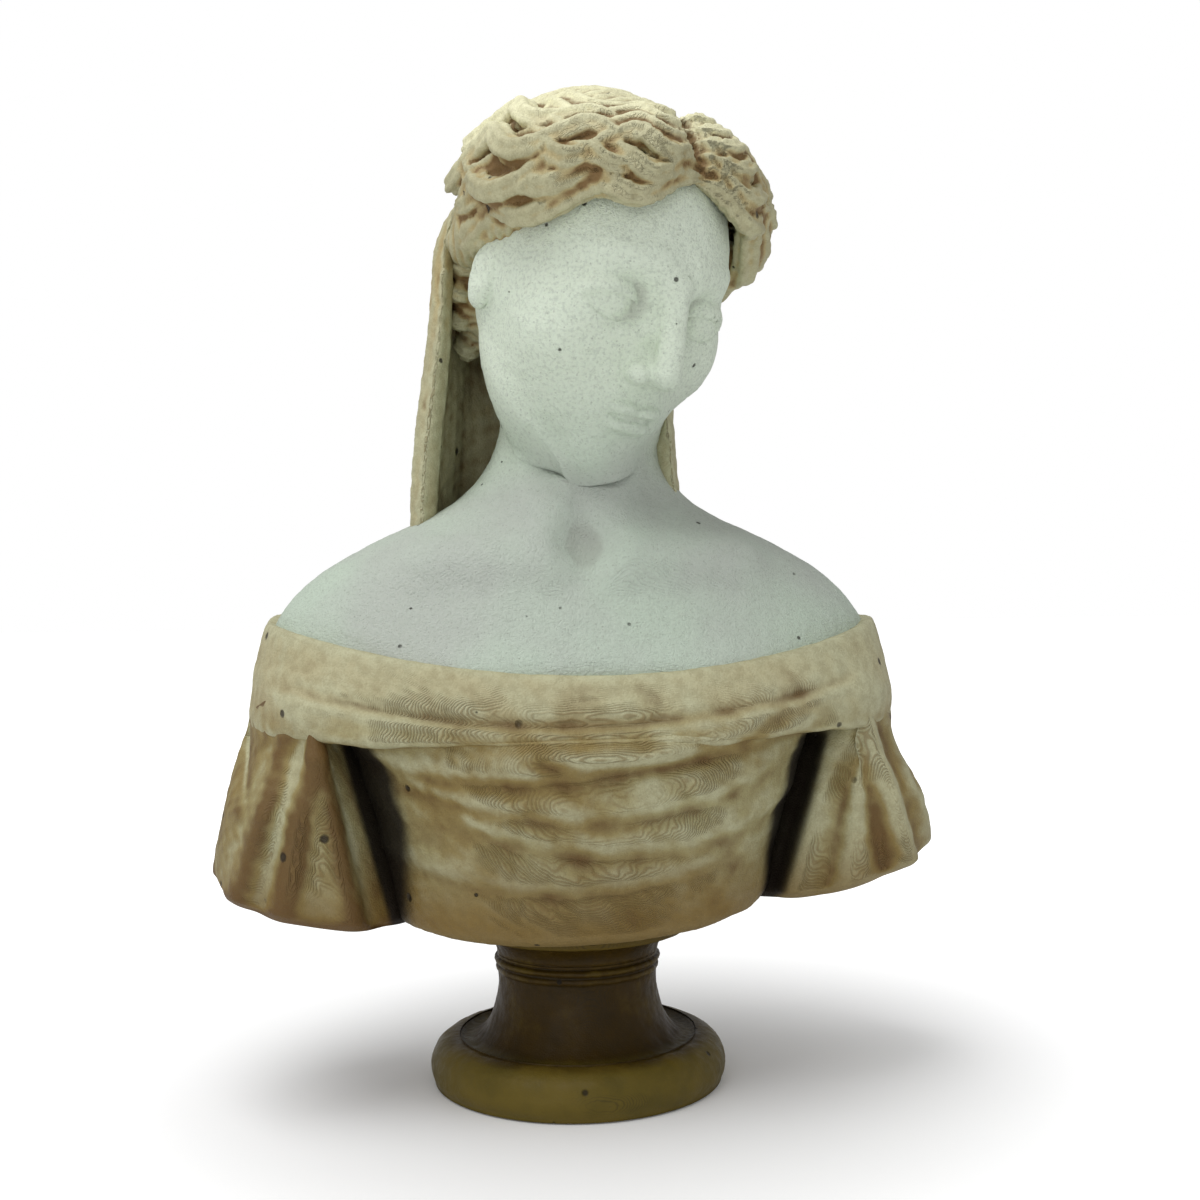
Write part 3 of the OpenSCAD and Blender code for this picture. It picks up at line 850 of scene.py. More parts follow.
def socle_outline(setup):
    """The turned outline from the top bed down to the felt, as radius and height."""
    foot = float(SOCLE_HIGH[0])
    top = float(SOCLE_HIGH[2])
    waist = setup.waist_radius / MM

    def arc(cx, cz, wide, high, start, end, steps):
        angles = np.radians(np.linspace(start, end, steps + 1))
        return [(cx + wide * math.cos(a), cz + high * math.sin(a)) for a in angles]

    line = [(0.01, top), (waist + 7.2, top)]
    line += arc(waist + 7.6, 29.6, 7.2, 5, 95, 180, 14)
    line += arc(waist - 0.1, 29.1, 0.5, 0.45, 60, -60, 6)
    line += arc(waist - 0.2, 27.8, 1.2, 0.85, 60, -60, 8)
    line += arc(waist - 0.3, 25.9, 0.9, 0.9, 60, -60, 8)
    line += arc(waist + 7.5, 23.8, 7.5, 14.2, 182, 268, 24)
    line += arc(foot - 8.1, 11, 1.4, 1.4, 260, 350, 6)
    line += arc(foot - 6.6, 4, 6.6, 6.4, 92, -32, 20)
    line += [(foot - 0.9, float(SOCLE_LOW[2])), (foot - 2, float(SOCLE_LOW[2])), (foot - 2, 1.0),
             (0.01, 1.0)]
    return line


def turn_socle(setup, finish):
    """The round socle, spun from its outline."""
    bm = bmesh.new()
    line = socle_outline(setup)
    verts = [bm.verts.new((r, 0, z)) for r, z in line]
    for a, b in zip(verts, verts[1:]):
        bm.edges.new((a, b))
    long_runs = [edge for edge in bm.edges if edge.calc_length() > 1.2]
    bmesh.ops.subdivide_edges(bm, edges=long_runs, cuts=3)
    bmesh.ops.spin(bm, geom=bm.verts[:] + bm.edges[:], cent=(0, 0, 0), axis=(0, 0, 1), angle=2 * math.pi,
                   steps=256, use_merge=True)
    bmesh.ops.remove_doubles(bm, verts=bm.verts, dist=0.02)
    bmesh.ops.recalc_face_normals(bm, faces=bm.faces)
    piece = new_mesh("socle_turning", bm)
    points = read_points(piece)
    away = read_normals(piece)
    worn = 0.09 * ripple(points, 11, 14) + 0.05 * ripple(points, 3.5, 15)
    side = window(np.hypot(points[:, 0], points[:, 1]), 12, 99, 2) * window(points[:, 2], 2, 34, 1)
    write_points(piece, points + away * (worn * side)[:, None])
    store_hollows(piece, 6, 0.25)
    finish_piece(piece, "socle_marble", finish, "socle")


# ---- shader groups ----


def group(name, inputs, outputs):
    """An empty shader group with float, colour or vector sockets."""
    tree = bpy.data.node_groups.new(name, "ShaderNodeTree")
    kinds = {"f": "NodeSocketFloat", "c": "NodeSocketColor", "v": "NodeSocketVector"}
    for label, kind, value in inputs:
        socket = tree.interface.new_socket(label, in_out="INPUT", socket_type=kinds[kind])
        if value is not None:
            socket.default_value = value
    for label, kind in outputs:
        tree.interface.new_socket(label, in_out="OUTPUT", socket_type=kinds[kind])
    return tree, tree.nodes.new("NodeGroupInput"), tree.nodes.new("NodeGroupOutput")


def node(tree, kind, inputs=None, **settings):
    """Adds a node, sets its properties, then sets or links its inputs."""
    made = tree.nodes.new(kind)
    for key, value in settings.items():
        setattr(made, key, value)
    for key, value in (inputs or {}).items():
        if isinstance(value, bpy.types.NodeSocket):
            tree.links.new(value, made.inputs[key])
        else:
            made.inputs[key].default_value = value
    return made


def ramp(tree, value, low, high, out_low=0.0, out_high=1.0):
    """A soft step of a value from low to high."""
    made = node(tree, "ShaderNodeMapRange",
                {"Value": value, "From Min": low, "From Max": high, "To Min": out_low,
                                             "To Max": out_high}, interpolation_type="SMOOTHSTEP")
    return made.outputs["Result"]


def math_node(tree, operation, *values):
    """A Math node over values or sockets."""
    made = tree.nodes.new("ShaderNodeMath")
    made.operation = operation
    for slot, value in enumerate(values):
        if isinstance(value, bpy.types.NodeSocket):
            tree.links.new(value, made.inputs[slot])
        else:
            made.inputs[slot].default_value = value
    return made.outputs[0]


def mix_colour(tree, share, a, b, blend="MIX"):
    """Mixes two colours by a share."""
    made = tree.nodes.new("ShaderNodeMix")
    made.data_type = "RGBA"
    made.blend_type = blend
    for key, value in (("Factor", share), ("A", a), ("B", b)):
        socket = [s for s in made.inputs if s.name == key and s.enabled][0]
        if isinstance(value, bpy.types.NodeSocket):
            tree.links.new(value, socket)
        else:
            socket.default_value = value
    return [s for s in made.outputs if s.enabled][0]


def contour_group():
    """Fine contour lines where the surface faces forward or back: one line for each small step of depth."""
    tree, into, out = group("contour_lines", [("Pitch", "f", 0.00015), ("Wobble", "f", 0.0005)],
                            [("Line", "f")])
    place = node(tree, "ShaderNodeTexCoord").outputs["Object"]
    bend = node(tree, "ShaderNodeTexNoise", {"Vector": place, "Scale": 45.0, "Detail": 2.0}).outputs["Fac"]
    split = node(tree, "ShaderNodeSeparateXYZ", {"Vector": place})
    depth = math_node(tree, "ADD", split.outputs["Y"],
                      math_node(tree, "MULTIPLY", bend, into.outputs["Wobble"]))
    turns = math_node(tree, "MULTIPLY", math_node(tree, "DIVIDE", depth, into.outputs["Pitch"]),
                      2 * math.pi)
    wave = math_node(tree, "SINE", turns)
    facing = node(tree, "ShaderNodeSeparateXYZ",
                  {"Vector": node(tree, "ShaderNodeNewGeometry").outputs["Normal"]})
    flat = ramp(tree, math_node(tree, "ABSOLUTE", facing.outputs["Y"]), 0.9, 0.97)
    patch = ramp(tree, node(tree, "ShaderNodeTexNoise", {"Vector": place, "Scale": 40.0}).outputs["Fac"],
                 0.3, 0.5)
    line = math_node(tree, "MULTIPLY", wave, math_node(tree, "MULTIPLY", flat, patch))
    tree.links.new(line, out.inputs["Line"])
    return tree


def pinhole_group():
    """Small round casting pits: a mask that is one inside each pit."""
    tree, into, out = group("pinholes", [("Scale", "f", 160.0), ("Radius", "f", 0.2), ("Share", "f", 0.3)],
                            [("Pit", "f")])
    place = node(tree, "ShaderNodeTexCoord").outputs["Object"]
    cells = node(tree, "ShaderNodeTexVoronoi",
                 {"Vector": place, "Scale": into.outputs["Scale"], "Randomness": 1.0})
    pick = node(tree, "ShaderNodeSeparateColor", {"Color": cells.outputs["Color"]})
    chosen = math_node(tree, "LESS_THAN", pick.outputs["Red"], into.outputs["Share"])
    size = math_node(tree, "MULTIPLY", into.outputs["Radius"],
                     math_node(tree, "ADD", pick.outputs["Green"], 0.35))
    near = math_node(tree, "SUBTRACT", size, cells.outputs["Distance"])
    edge = math_node(tree, "MULTIPLY", size, 0.45)
    mask = math_node(tree, "MULTIPLY", math_node(tree, "DIVIDE", near, edge), chosen)
    tree.links.new(math_node(tree, "MINIMUM", math_node(tree, "MAXIMUM", mask, 0.0), 1.0),
                   out.inputs["Pit"])
    return tree


def wash_group():
    """How much of the brown wash stays, in the carved hollows and in wandering patches, and how much cream
    the ridges take, partly rubbed wear and partly painted highlight; on the flesh the hollows serve as
    stain and painted shade.
    """
    tree, into, out = group("wash", [("Depth", "f", 1.0), ("Patches", "f", 0.4), ("Scale", "f", 60.0)],
                            [("Wash", "f"), ("Rubbed", "f")])
    place = node(tree, "ShaderNodeTexCoord").outputs["Object"]
    hollow = node(tree, "ShaderNodeAttribute", attribute_name="hollow").outputs["Fac"]
    cloud = node(tree, "ShaderNodeTexNoise",
                 {"Vector": place, "Scale": into.outputs["Scale"], "Detail": 5.0,
                                              "Roughness": 0.62}).outputs["Fac"]
    patch = math_node(tree, "MULTIPLY", math_node(tree, "SUBTRACT", cloud, 0.5), into.outputs["Patches"])
    deep = math_node(tree, "MULTIPLY", hollow, into.outputs["Depth"])
    total = math_node(tree, "ADD", deep, math_node(tree, "MULTIPLY", patch, 2.0))
    tree.links.new(ramp(tree, total, -0.15, 0.95), out.inputs["Wash"])
    tree.links.new(ramp(tree, math_node(tree, "MULTIPLY", total, -1.0), -0.1, 0.8), out.inputs["Rubbed"])
    return tree


def grain_group():
    """Fine stone grain: a height, and a mottle for the colour."""
    tree, into, out = group("stone_grain", [("Fine", "f", 2600.0), ("Coarse", "f", 420.0)],
                            [("Height", "f"), ("Mottle", "f")])
    place = node(tree, "ShaderNodeTexCoord").outputs["Object"]
    fine = node(tree, "ShaderNodeTexNoise", {"Vector": place, "Scale": into.outputs["Fine"], "Detail": 3.0})
    coarse = node(tree, "ShaderNodeTexNoise",
                  {"Vector": place, "Scale": into.outputs["Coarse"], "Detail": 5.0,
                                               "Roughness": 0.6})
    height = math_node(tree, "ADD", math_node(tree, "MULTIPLY", fine.outputs["Fac"], 0.4),
                       math_node(tree, "MULTIPLY", coarse.outputs["Fac"], 0.6))
    tree.links.new(height, out.inputs["Height"])
    tree.links.new(coarse.outputs["Fac"], out.inputs["Mottle"])
    return tree


def place_group(tree, name, values=None):
    """Puts a shared group into a material, with its own values."""
    made = tree.nodes.new("ShaderNodeGroup")
    made.node_tree = bpy.data.node_groups[name]
    for key, value in (values or {}).items():
        made.inputs[key].default_value = value
    return made


def new_finish(name):
    """An empty material, with its tree and its shader."""
    finish = bpy.data.materials.new(name)
    finish.use_nodes = True
    tree = finish.node_tree
    return finish, tree, tree.nodes["Principled BSDF"]


def bump(tree, shader, height, strength, distance):
    """Feeds a height to the shader's normal."""
    made = node(tree, "ShaderNodeBump", {"Strength": strength, "Distance": distance, "Height": height})
    tree.links.new(made.outputs["Normal"], shader.inputs["Normal"])


def flesh_finish(setup):
    """Chalky white marble with faint green and lilac clouds, pores and pits."""
    finish, tree, shader = new_finish("flesh_stone")
    place = node(tree, "ShaderNodeTexCoord").outputs["Object"]
    grain = place_group(tree, "stone_grain", {"Coarse": 1300.0})
    wash = place_group(tree, "wash", {"Depth": 0.9, "Patches": 0.4, "Scale": 70.0})
    pits = place_group(tree, "pinholes", {"Scale": 420.0, "Radius": 0.2, "Share": 0.035})
    pores = place_group(tree, "pinholes", {"Scale": 1500.0, "Radius": 0.3, "Share": 0.3})
    lines = place_group(tree, "contour_lines", {"Pitch": 0.00018})
    cloud = node(tree, "ShaderNodeTexNoise", {"Vector": place, "Scale": 18.0, "Detail": 3.0}).outputs["Fac"]
    base = mix_colour(tree, ramp(tree, cloud, 0.42, 0.62, 0, 0.7), (*setup.flesh_colour, 1),
                      (0.49, 0.505, 0.47, 1))
    split = node(tree, "ShaderNodeSeparateXYZ", {"Vector": place})
    lower = ramp(tree, split.outputs["Z"], 0.155, 0.135)
    shade = math_node(tree, "MULTIPLY", ramp(tree, lines.outputs["Line"], 0.2, 0.9, 0, 0.16), lower)
    base = mix_colour(tree, shade, base, (0.36, 0.36, 0.33, 1))
    # painted light: from the neck upwards the same white marble is painted much paler, standing in for
    # light on the head
    painted_light_head = ramp(tree, split.outputs["Z"], 0.13, 0.165, 0, 0.85)
    base = mix_colour(tree, painted_light_head, base, (0.84, 0.93, 0.77, 1))
    base = mix_colour(tree, ramp(tree, grain.outputs["Mottle"], 0.45, 0.7, 0, 0.4), base,
                      (0.40, 0.45, 0.38, 1))
    # partly stain and partly painted shade: the flesh is darkened in its carved hollows
    stain_and_shade = ramp(tree, wash.outputs["Wash"], 0.2, 1.0, 0, 0.35)
    base = mix_colour(tree, stain_and_shade, base, (0.26, 0.25, 0.22, 1))
    base = mix_colour(tree, math_node(tree, "MULTIPLY", pores.outputs["Pit"], 0.3), base,
                      (0.2, 0.2, 0.17, 1))
    base = mix_colour(tree, math_node(tree, "MULTIPLY", pits.outputs["Pit"], 0.85), base,
                      (0.05, 0.045, 0.035, 1))
    tree.links.new(base, shader.inputs["Base Color"])
    shader.inputs["Roughness"].default_value = 0.72
    shader.inputs["Specular IOR Level"].default_value = 0.3
    height = math_node(tree, "ADD", grain.outputs["Height"], math_node(tree, "MULTIPLY", shade, 0.8))
    height = math_node(tree, "SUBTRACT", height, math_node(tree, "MULTIPLY", pits.outputs["Pit"], 2.0))
    bump(tree, shader, height, 0.9, 0.0007)
    return finish


def honey_finish(setup):
    """Honey marble with a brown wash in the hollows, cream on the ridges that is partly rubbed wear and
    partly painted highlight, and fine contour lines.
    """
    finish, tree, shader = new_finish("honey_stone")
    place = node(tree, "ShaderNodeTexCoord").outputs["Object"]
    grain = place_group(tree, "stone_grain")
    wash = place_group(tree, "wash", {"Depth": 1.35, "Patches": 1.05, "Scale": 80.0})
    pits = place_group(tree, "pinholes", {"Scale": 230.0, "Radius": 0.2, "Share": 0.1})
    holes = place_group(tree, "pinholes", {"Scale": 42.0, "Radius": 0.06, "Share": 0.07})
    lines = place_group(tree, "contour_lines")
    cloud = node(tree, "ShaderNodeTexNoise", {"Vector": place, "Scale": 26.0, "Detail": 4.0}).outputs["Fac"]
    base = mix_colour(tree, ramp(tree, cloud, 0.35, 0.65), (*setup.honey_colour, 1), (*setup.tan_colour, 1))
    split = node(tree, "ShaderNodeSeparateXYZ", {"Vector": place})
    for start, end, most, tone in ((0.080, 0.092, 0.55, (0.62, 0.60, 0.40)),
                                   (0.165, 0.180, 0.6, (0.50, 0.38, 0.16))):
        base = mix_colour(tree, ramp(tree, split.outputs["Z"], start, end, 0, most), base, (*tone, 1))
    # partly rubbed wear and partly painted highlight: the ridges are lightened towards cream
    base = mix_colour(tree, math_node(tree, "MULTIPLY", wash.outputs["Rubbed"], 0.75), base,
                      (*setup.cream_and_highlight_colour, 1))
    # painted light: the top of the hair and veil, above about 200 mm, is painted near-white where the
    # overhead light falls
    base = mix_colour(tree, ramp(tree, split.outputs["Z"], 0.200, 0.212, 0, 0.85), base,
                      (0.97, 0.95, 0.64, 1))
    # painted shade: the dress and sleeves are painted darker brown below about 64 mm, towards the lower
    # edge
    base = mix_colour(tree, ramp(tree, split.outputs["Z"], 0.064, 0.040, 0, 0.85), base,
                      (0.18, 0.10, 0.009, 1))
    brown = mix_colour(tree, ramp(tree, split.outputs["Z"], 0.12, 0.17), (*setup.wash_colour, 1),
                       (0.19, 0.10, 0.03, 1))
    base = mix_colour(tree, math_node(tree, "MULTIPLY", wash.outputs["Wash"], 0.9), base, brown)
    dark = math_node(tree, "MULTIPLY", ramp(tree, lines.outputs["Line"], -0.2, 0.9, 0, 0.5),
                     ramp(tree, split.outputs["Z"], 0.15, 0.17, 1, 0.25))
    base = mix_colour(tree, dark, base, (0.17, 0.105, 0.03, 1))
    speck = ramp(tree, grain.outputs["Height"], 0.38, 0.62)
    base = mix_colour(tree, math_node(tree, "MULTIPLY", speck, 0.28), base, (0.15, 0.10, 0.03, 1))
    # painted shade: the slots beside the trunk are painted near-black
    slot = node(tree, "ShaderNodeAttribute", attribute_name="slot").outputs["Fac"]
    base = mix_colour(tree, math_node(tree, "MULTIPLY", slot, 0.96), base, (0.008, 0.005, 0.003, 1))
    spots = math_node(tree, "MAXIMUM", pits.outputs["Pit"], holes.outputs["Pit"])
    base = mix_colour(tree, math_node(tree, "MULTIPLY", spots, 0.9), base, (0.025, 0.018, 0.01, 1))
    tree.links.new(base, shader.inputs["Base Color"])
    shader.inputs["Roughness"].default_value = 0.62
    shader.inputs["Specular IOR Level"].default_value = 0.35
    height = math_node(tree, "ADD", grain.outputs["Height"],
                       math_node(tree, "MULTIPLY", lines.outputs["Line"], 0.3))
    height = math_node(tree, "SUBTRACT", height, math_node(tree, "MULTIPLY", spots, 2.5))
    bump(tree, shader, height, 0.9, 0.0005)
    return finish


def socle_finish(setup):
    """Dark olive marble, waxed, with a lighter rubbed foot."""
    finish, tree, shader = new_finish("socle_stone")
    place = node(tree, "ShaderNodeTexCoord").outputs["Object"]
    grain = place_group(tree, "stone_grain")
    wash = place_group(tree, "wash", {"Depth": 0.8, "Patches": 1.3, "Scale": 75.0})
    pits = place_group(tree, "pinholes", {"Scale": 300.0, "Radius": 0.2, "Share": 0.06})
    lines = place_group(tree, "contour_lines")
    split = node(tree, "ShaderNodeSeparateXYZ", {"Vector": place})
    foot = ramp(tree, split.outputs["Z"], 0.0108, 0.0092)
    base = mix_colour(tree, foot, (*setup.socle_colour, 1), (*setup.foot_colour, 1))
    # partly rubbed wear and partly painted highlight: the socle's ridges are lightened
    base = mix_colour(tree, math_node(tree, "MULTIPLY", wash.outputs["Rubbed"], 0.5), base,
                      (0.15, 0.105, 0.016, 1))
    base = mix_colour(tree, math_node(tree, "MULTIPLY", wash.outputs["Wash"], 0.7), base,
                      (0.018, 0.013, 0.006, 1))
    dark = ramp(tree, lines.outputs["Line"], 0.1, 0.9, 0, 0.35)
    base = mix_colour(tree, dark, base, (0.02, 0.015, 0.008, 1))
    base = mix_colour(tree, math_node(tree, "MULTIPLY", pits.outputs["Pit"], 0.8), base,
                      (0.008, 0.006, 0.004, 1))
    tree.links.new(base, shader.inputs["Base Color"])
    tree.links.new(ramp(tree, grain.outputs["Mottle"], 0.3, 0.7, 0.36, 0.55), shader.inputs["Roughness"])
    shader.inputs["Specular IOR Level"].default_value = 0.14
    height = math_node(tree, "SUBTRACT", grain.outputs["Height"],
                       math_node(tree, "MULTIPLY", pits.outputs["Pit"], 2.0))
    bump(tree, shader, height, 0.5, 0.0004)
    return finish


def metal_finish(name, colour, roughness):
    """Drawn or turned metal with fine rings and a mottled polish."""
    finish, tree, shader = new_finish(name)
    place = node(tree, "ShaderNodeTexCoord").outputs["Object"]
    grain = place_group(tree, "stone_grain", {"Fine": 5000.0, "Coarse": 900.0})
    split = node(tree, "ShaderNodeSeparateXYZ", {"Vector": place})
    rings = math_node(tree, "SINE", math_node(tree, "MULTIPLY", split.outputs["Z"], 2 * math.pi / 0.0007))
    tint = mix_colour(tree, ramp(tree, grain.outputs["Mottle"], 0.3, 0.7, 0, 0.5), (*colour, 1),
                      (*[c * 0.6 for c in colour], 1))
    tree.links.new(tint, shader.inputs["Base Color"])
    tree.links.new(ramp(tree, grain.outputs["Mottle"], 0.3, 0.7, roughness, roughness + 0.15),
                   shader.inputs["Roughness"])
    shader.inputs["Metallic"].default_value = 1.0
    bump(tree, shader, math_node(tree, "ADD", rings, grain.outputs["Height"]), 0.3, 0.00012)
    return finish


def felt_finish(setup):
    """Dark green felt with a short matted nap."""
    finish, tree, shader = new_finish("green_felt")
    place = node(tree, "ShaderNodeTexCoord").outputs["Object"]
    grain = place_group(tree, "stone_grain", {"Fine": 4200.0, "Coarse": 1300.0})
    nap = node(tree, "ShaderNodeTexNoise",
               {"Vector": place, "Scale": 2600.0, "Detail": 4.0, "Distortion": 1.5})
    tint = mix_colour(tree, ramp(tree, nap.outputs["Fac"], 0.35, 0.65), (*setup.felt_colour, 1),
                      (*[c * 1.9 for c in setup.felt_colour], 1))
    tree.links.new(tint, shader.inputs["Base Color"])
    shader.inputs["Roughness"].default_value = 0.95
    bump(tree, shader, math_node(tree, "ADD", nap.outputs["Fac"], grain.outputs["Height"]), 0.6, 0.0003)
    return finish


# ---- stage ----


def aim(thing, target):
    """Turns a lamp or the camera to look at a point."""
    thing.rotation_euler = (Vector(target) - thing.location).to_track_quat("-Z", "Y").to_euler()


def area_lamp(name, place, target, size, power):
    """A square soft lamp."""
    data = bpy.data.lights.new(name, "AREA")
    data.size = size
    data.energy = power
    lamp = bpy.data.objects.new(name, data)
    lamp.location = place
    aim(lamp, target)
    bpy.context.scene.collection.objects.link(lamp)
    return lamp


def build_stage(setup):
    """A white floor, a bright surround, soft lamps and the camera."""
    scene = bpy.context.scene
    bm = bmesh.new()
    bmesh.ops.create_grid(bm, x_segments=2, y_segments=2, size=6.0)
    mesh = bpy.data.meshes.new("floor")
    bm.to_mesh(mesh)
    bm.free()
    floor = bpy.data.objects.new("floor", mesh)
    scene.collection.objects.link(floor)
    finish, tree, shader = new_finish("white_floor")
    seen = node(tree, "ShaderNodeLightPath").outputs["Is Camera Ray"]
    place = node(tree, "ShaderNodeTexCoord").outputs["Object"]
    far = node(tree, "ShaderNodeVectorMath", {0: place}, operation="LENGTH").outputs["Value"]
    near_glow = ramp(tree, far, 0.045, 0.15, 0.04, 0.4)
    glow = math_node(tree, "ADD", near_glow, ramp(tree, far, 0.15, 0.4, 0, setup.floor_glow - 0.4))
    tree.links.new(math_node(tree, "MULTIPLY", seen, glow), shader.inputs["Emission Strength"])
    shader.inputs["Emission Color"].default_value = (1, 1, 1, 1)
    shader.inputs["Base Color"].default_value = (0.88, 0.885, 0.89, 1)
    shader.inputs["Roughness"].default_value = 0.6
    shader.inputs["Specular IOR Level"].default_value = 0.2
    floor.data.materials.append(finish)

    world = bpy.data.worlds.new("surround")
    scene.world = world
    world.use_nodes = True
    back = world.node_tree.nodes["Background"]
    seen = node(world.node_tree, "ShaderNodeLightPath").outputs["Is Camera Ray"]
    share = math_node(world.node_tree, "MULTIPLY", seen, 1 - setup.surround)
    world.node_tree.links.new(math_node(world.node_tree, "ADD", share, setup.surround),
                              back.inputs["Strength"])
    back.inputs["Color"].default_value = (1.0, 1.0, 1.0, 1)

    high = CAD_BOUNDS[1][2]
    area_lamp("lamp_front", (-0.5, -1.3, high * 1.6), (0, 0, high * 0.8), 0.7, setup.lamp_power * 0.22)
    area_lamp("lamp_over", (-0.45, -0.3, high + 1.1), (0, 0, high * 0.6), 0.9, setup.lamp_power)

    camera_data = bpy.data.cameras.new("camera")
    camera = bpy.data.objects.new("camera", camera_data)
    scene.collection.objects.link(camera)
    azimuth = setup.camera_azimuth
    distance = setup.camera_distance
    look = Vector((-math.sin(azimuth), math.cos(azimuth), 0))
    right = Vector((look.y, -look.x, 0))
    centre = right * setup.camera_aside
    camera.location = centre - look * distance + Vector((0, 0, setup.camera_height))
    camera.rotation_euler = look.to_track_quat("-Z", "Y").to_euler()
    camera.rotation_euler.rotate_axis("Z", setup.camera_roll)
    camera_data.lens = LENS_MM
    camera_data.sensor_width = SENSOR_MM
    camera_data.clip_start = 0.01
    camera_data.clip_end = 50
    camera_data.dof.use_dof = False
    scene.camera = camera
    scene.view_settings.view_transform = "Standard"


# ---- the add-on ----


class BustSettings(bpy.types.PropertyGroup):
    """What a user may change on the bust."""

    head_yaw: bpy.props.FloatProperty(name="Head turn", description="Turn towards its own left, in degrees",
                                      default=27.0)
    head_bow: bpy.props.FloatProperty(name="Head bow", description="Bow of the head, in degrees",
                                      default=26.0)
    head_lean: bpy.props.FloatProperty(name="Head lean", description="Lean of the crown, in degrees",
                                       default=6.0)
    waist_radius: bpy.props.FloatProperty(name="Waist radius", description="The socle's narrowest radius",
                                          default=18.2 * MM, unit="LENGTH", precision=4)
    flesh_colour: bpy.props.FloatVectorProperty(name="Flesh", description="White marble of the flesh",
                                                default=(0.54, 0.63, 0.525), subtype="COLOR", min=0, max=1)
    honey_colour: bpy.props.FloatVectorProperty(name="Honey", description="Light tone of the honey marble",
                                                default=(0.37, 0.34, 0.17), subtype="COLOR", min=0, max=1)
    tan_colour: bpy.props.FloatVectorProperty(name="Tan", description="Dark tone of the honey marble",
                                              default=(0.27, 0.20, 0.065), subtype="COLOR", min=0, max=1)
    # partly rubbed wear and partly painted highlight: the cream of the ridges
    cream_and_highlight_colour: bpy.props.FloatVectorProperty(name="Cream", description="Rubbed ridges",
                                                default=(0.52, 0.52, 0.34), subtype="COLOR", min=0, max=1)
    wash_colour: bpy.props.FloatVectorProperty(name="Wash", description="Brown wash in the hollows",
                                               default=(0.11, 0.052, 0.010), subtype="COLOR", min=0, max=1)
    socle_colour: bpy.props.FloatVectorProperty(name="Socle", description="Waist of the socle",
                                                default=(0.042, 0.023, 0.002), subtype="COLOR", min=0,
                                                max=1)
    foot_colour: bpy.props.FloatVectorProperty(name="Foot", description="Foot of the socle",
                                               default=(0.088, 0.066, 0.011), subtype="COLOR", min=0, max=1)
    felt_colour: bpy.props.FloatVectorProperty(name="Felt", description="Felt under the foot",
                                               default=(0.03, 0.06, 0.035), subtype="COLOR", min=0, max=1)
    surround: bpy.props.FloatProperty(name="Surround", description="Strength of the white surround",
                                      default=0.5)
    floor_glow: bpy.props.FloatProperty(name="Floor glow", description="Added white of the far floor",
                                        default=0.75)
    lamp_power: bpy.props.FloatProperty(name="Lamps", description="Power of the lamp overhead, in watts",
                                        default=11.0)
    camera_azimuth: bpy.props.FloatProperty(name="Camera azimuth",
                                            description="Turn of the camera round the bust",
                                            default=math.radians(-9.0), subtype="ANGLE")
    camera_distance: bpy.props.FloatProperty(name="Camera distance", description="From the socle's axis",
                                             default=0.339, unit="LENGTH")
    camera_height: bpy.props.FloatProperty(name="Camera height", description="Above the table",
                                           default=0.110, unit="LENGTH")
    camera_aside: bpy.props.FloatProperty(name="Camera aside", description="Sideways from the axis",
                                          default=0.0063, unit="LENGTH")
    camera_roll: bpy.props.FloatProperty(name="Camera roll", description="Tilt of the picture",
                                         default=math.radians(-0.7), subtype="ANGLE")


def settings():
    """The scene's bust settings."""
    return bpy.context.scene.bust_settings


class BUST_OT_finishes(bpy.types.Operator):
    """Mix every stone, metal and felt finish"""

    bl_idname = "bust.finishes"
    bl_label = "Finishes"

    def execute(self, context):
        for make in (contour_group, pinhole_group, wash_group, grain_group):
            make()
        setup = settings()
        for make in (flesh_finish, honey_finish, socle_finish, felt_finish):
            make(setup)
        metal_finish("plain_steel", (0.56, 0.57, 0.58), 0.32)
        metal_finish("turned_brass", (0.75, 0.58, 0.28), 0.28)
        return {"FINISHED"}


class BUST_OT_flesh(bpy.types.Operator):
    """Carve the head, neck and shoulders"""

    bl_idname = "bust.flesh"
    bl_label = "Flesh"

    def execute(self, context):
        carve_flesh(settings(), bpy.data.materials["flesh_stone"])
        return {"FINISHED"}


class BUST_OT_hair(bpy.types.Operator):
    """Carve the waved hair and the chignon"""

    bl_idname = "bust.hair"
    bl_label = "Hair"

    def execute(self, context):
        carve_hair(settings(), bpy.data.materials["honey_stone"])
        carve_chignon(settings(), bpy.data.materials["honey_stone"])
        return {"FINISHED"}


class BUST_OT_veil(bpy.types.Operator):
    """Carve the veil"""

    bl_idname = "bust.veil"
    bl_label = "Veil"

    def execute(self, context):
        carve_veil(settings(), bpy.data.materials["honey_stone"])
        return {"FINISHED"}


class BUST_OT_dress(bpy.types.Operator):
    """Carve the bodice and its two sleeves"""

    bl_idname = "bust.dress"
    bl_label = "Dress"

    def execute(self, context):
        finish = bpy.data.materials["honey_stone"]
        carve_bodice(settings(), finish)
        carve_sleeve(-1, "sleeve_right", settings(), finish)
        carve_sleeve(1, "sleeve_left", settings(), finish)
        return {"FINISHED"}


class BUST_OT_socle(bpy.types.Operator):
    """Turn the socle"""

    bl_idname = "bust.socle"
    bl_label = "Socle"

    def execute(self, context):
        turn_socle(settings(), bpy.data.materials["socle_stone"])
        return {"FINISHED"}


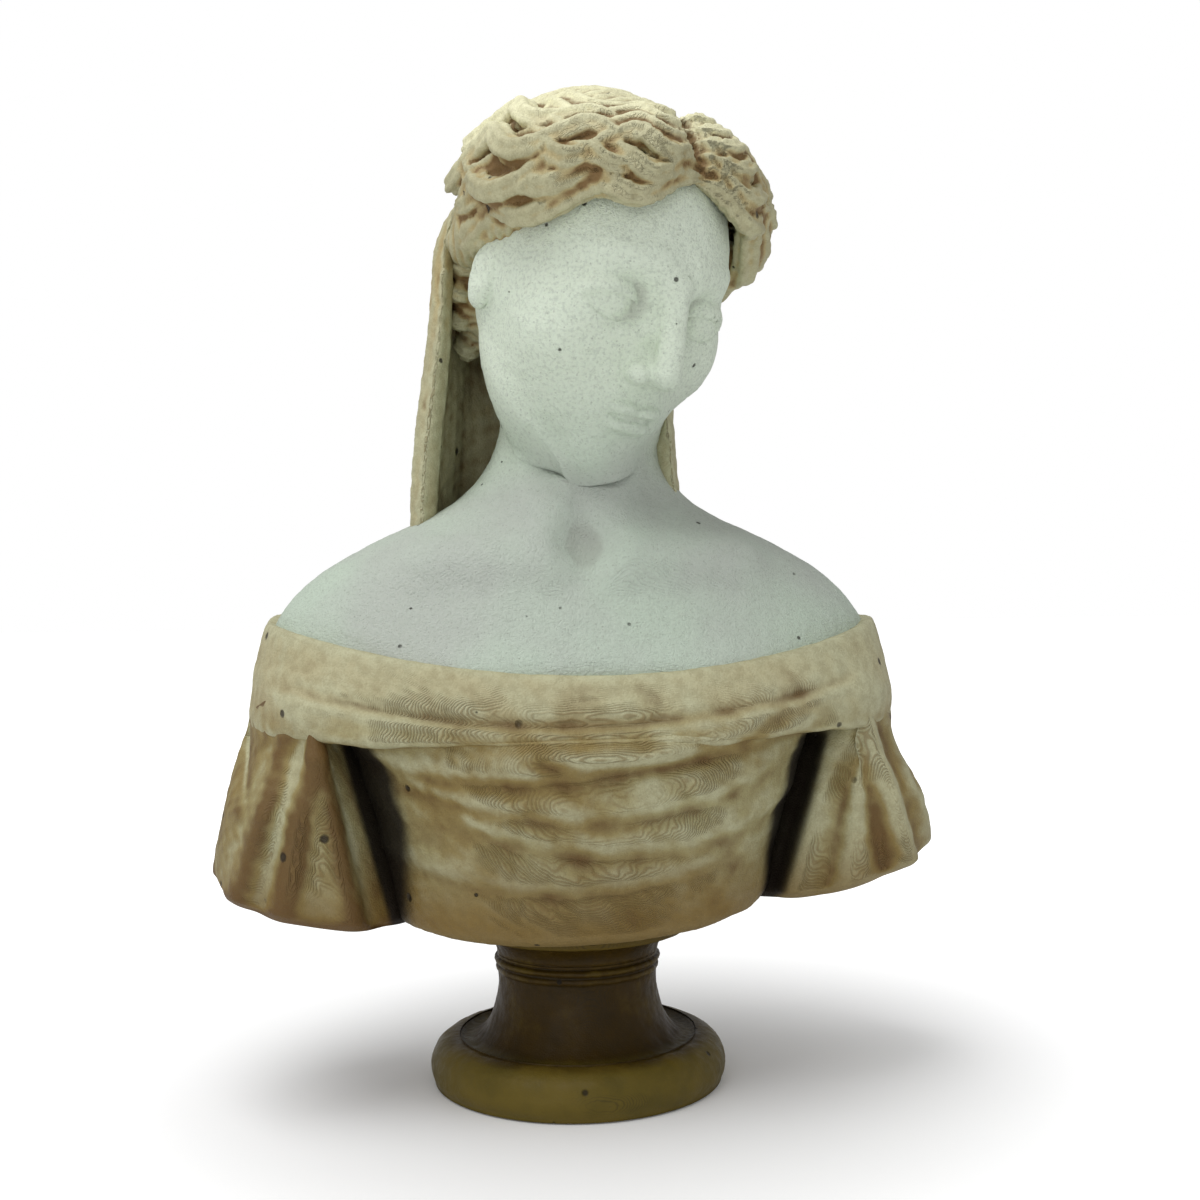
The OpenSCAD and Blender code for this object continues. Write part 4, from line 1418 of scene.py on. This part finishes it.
class BUST_OT_fixings(bpy.types.Operator):
    """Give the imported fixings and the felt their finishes"""

    bl_idname = "bust.fixings"
    bl_label = "Fixings"

    def execute(self, context):
        finishes = {"felt_pad": "green_felt", "rod_socket": "turned_brass"}
        for name in ("felt_pad", "threaded_rod", "rod_socket", "washer", "spring_washer", "nut",
                     "sleeve_dowels",
                     "veil_dowels", "hair_dowel"):
            dress_node(name, bpy.data.materials[finishes.get(name, "plain_steel")])
        return {"FINISHED"}


def dress_node(name, finish):
    """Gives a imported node's own object a finish."""
    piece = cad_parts[name]
    piece = piece if isinstance(piece, bpy.types.Object) else bpy.data.objects[name]
    for slot in piece.material_slots:
        slot.material = finish


class BUST_OT_stage(bpy.types.Operator):
    """Set the floor, the lamps and the camera"""

    bl_idname = "bust.stage"
    bl_label = "Stage"

    def execute(self, context):
        build_stage(settings())
        return {"FINISHED"}


STEPS = (BUST_OT_finishes, BUST_OT_flesh, BUST_OT_hair, BUST_OT_veil, BUST_OT_dress, BUST_OT_socle,
         BUST_OT_fixings, BUST_OT_stage)


class BUST_PT_panel(bpy.types.Panel):
    """The bust's steps and settings in the sidebar."""

    bl_idname = "BUST_PT_panel"
    bl_label = "Bust"
    bl_space_type = "VIEW_3D"
    bl_region_type = "UI"
    bl_category = "Bust"

    def draw(self, context):
        for step in STEPS:
            self.layout.operator(step.bl_idname)
        for key in BustSettings.__annotations__:
            self.layout.prop(context.scene.bust_settings, key)


CLASSES = (BustSettings, *STEPS, BUST_PT_panel)


def register():
    """Registers the classes and the scene's settings."""
    for item in CLASSES:
        bpy.utils.register_class(item)
    bpy.types.Scene.bust_settings = bpy.props.PointerProperty(type=BustSettings)


def unregister():
    """Takes them away again."""
    del bpy.types.Scene.bust_settings
    for item in reversed(CLASSES):
        bpy.utils.unregister_class(item)


def main():
    """Builds the whole bust."""
    register()
    for step in STEPS:
        area, name = step.bl_idname.split(".")
        getattr(getattr(bpy.ops, area), name)()


if __name__ == "__main__":
    main()
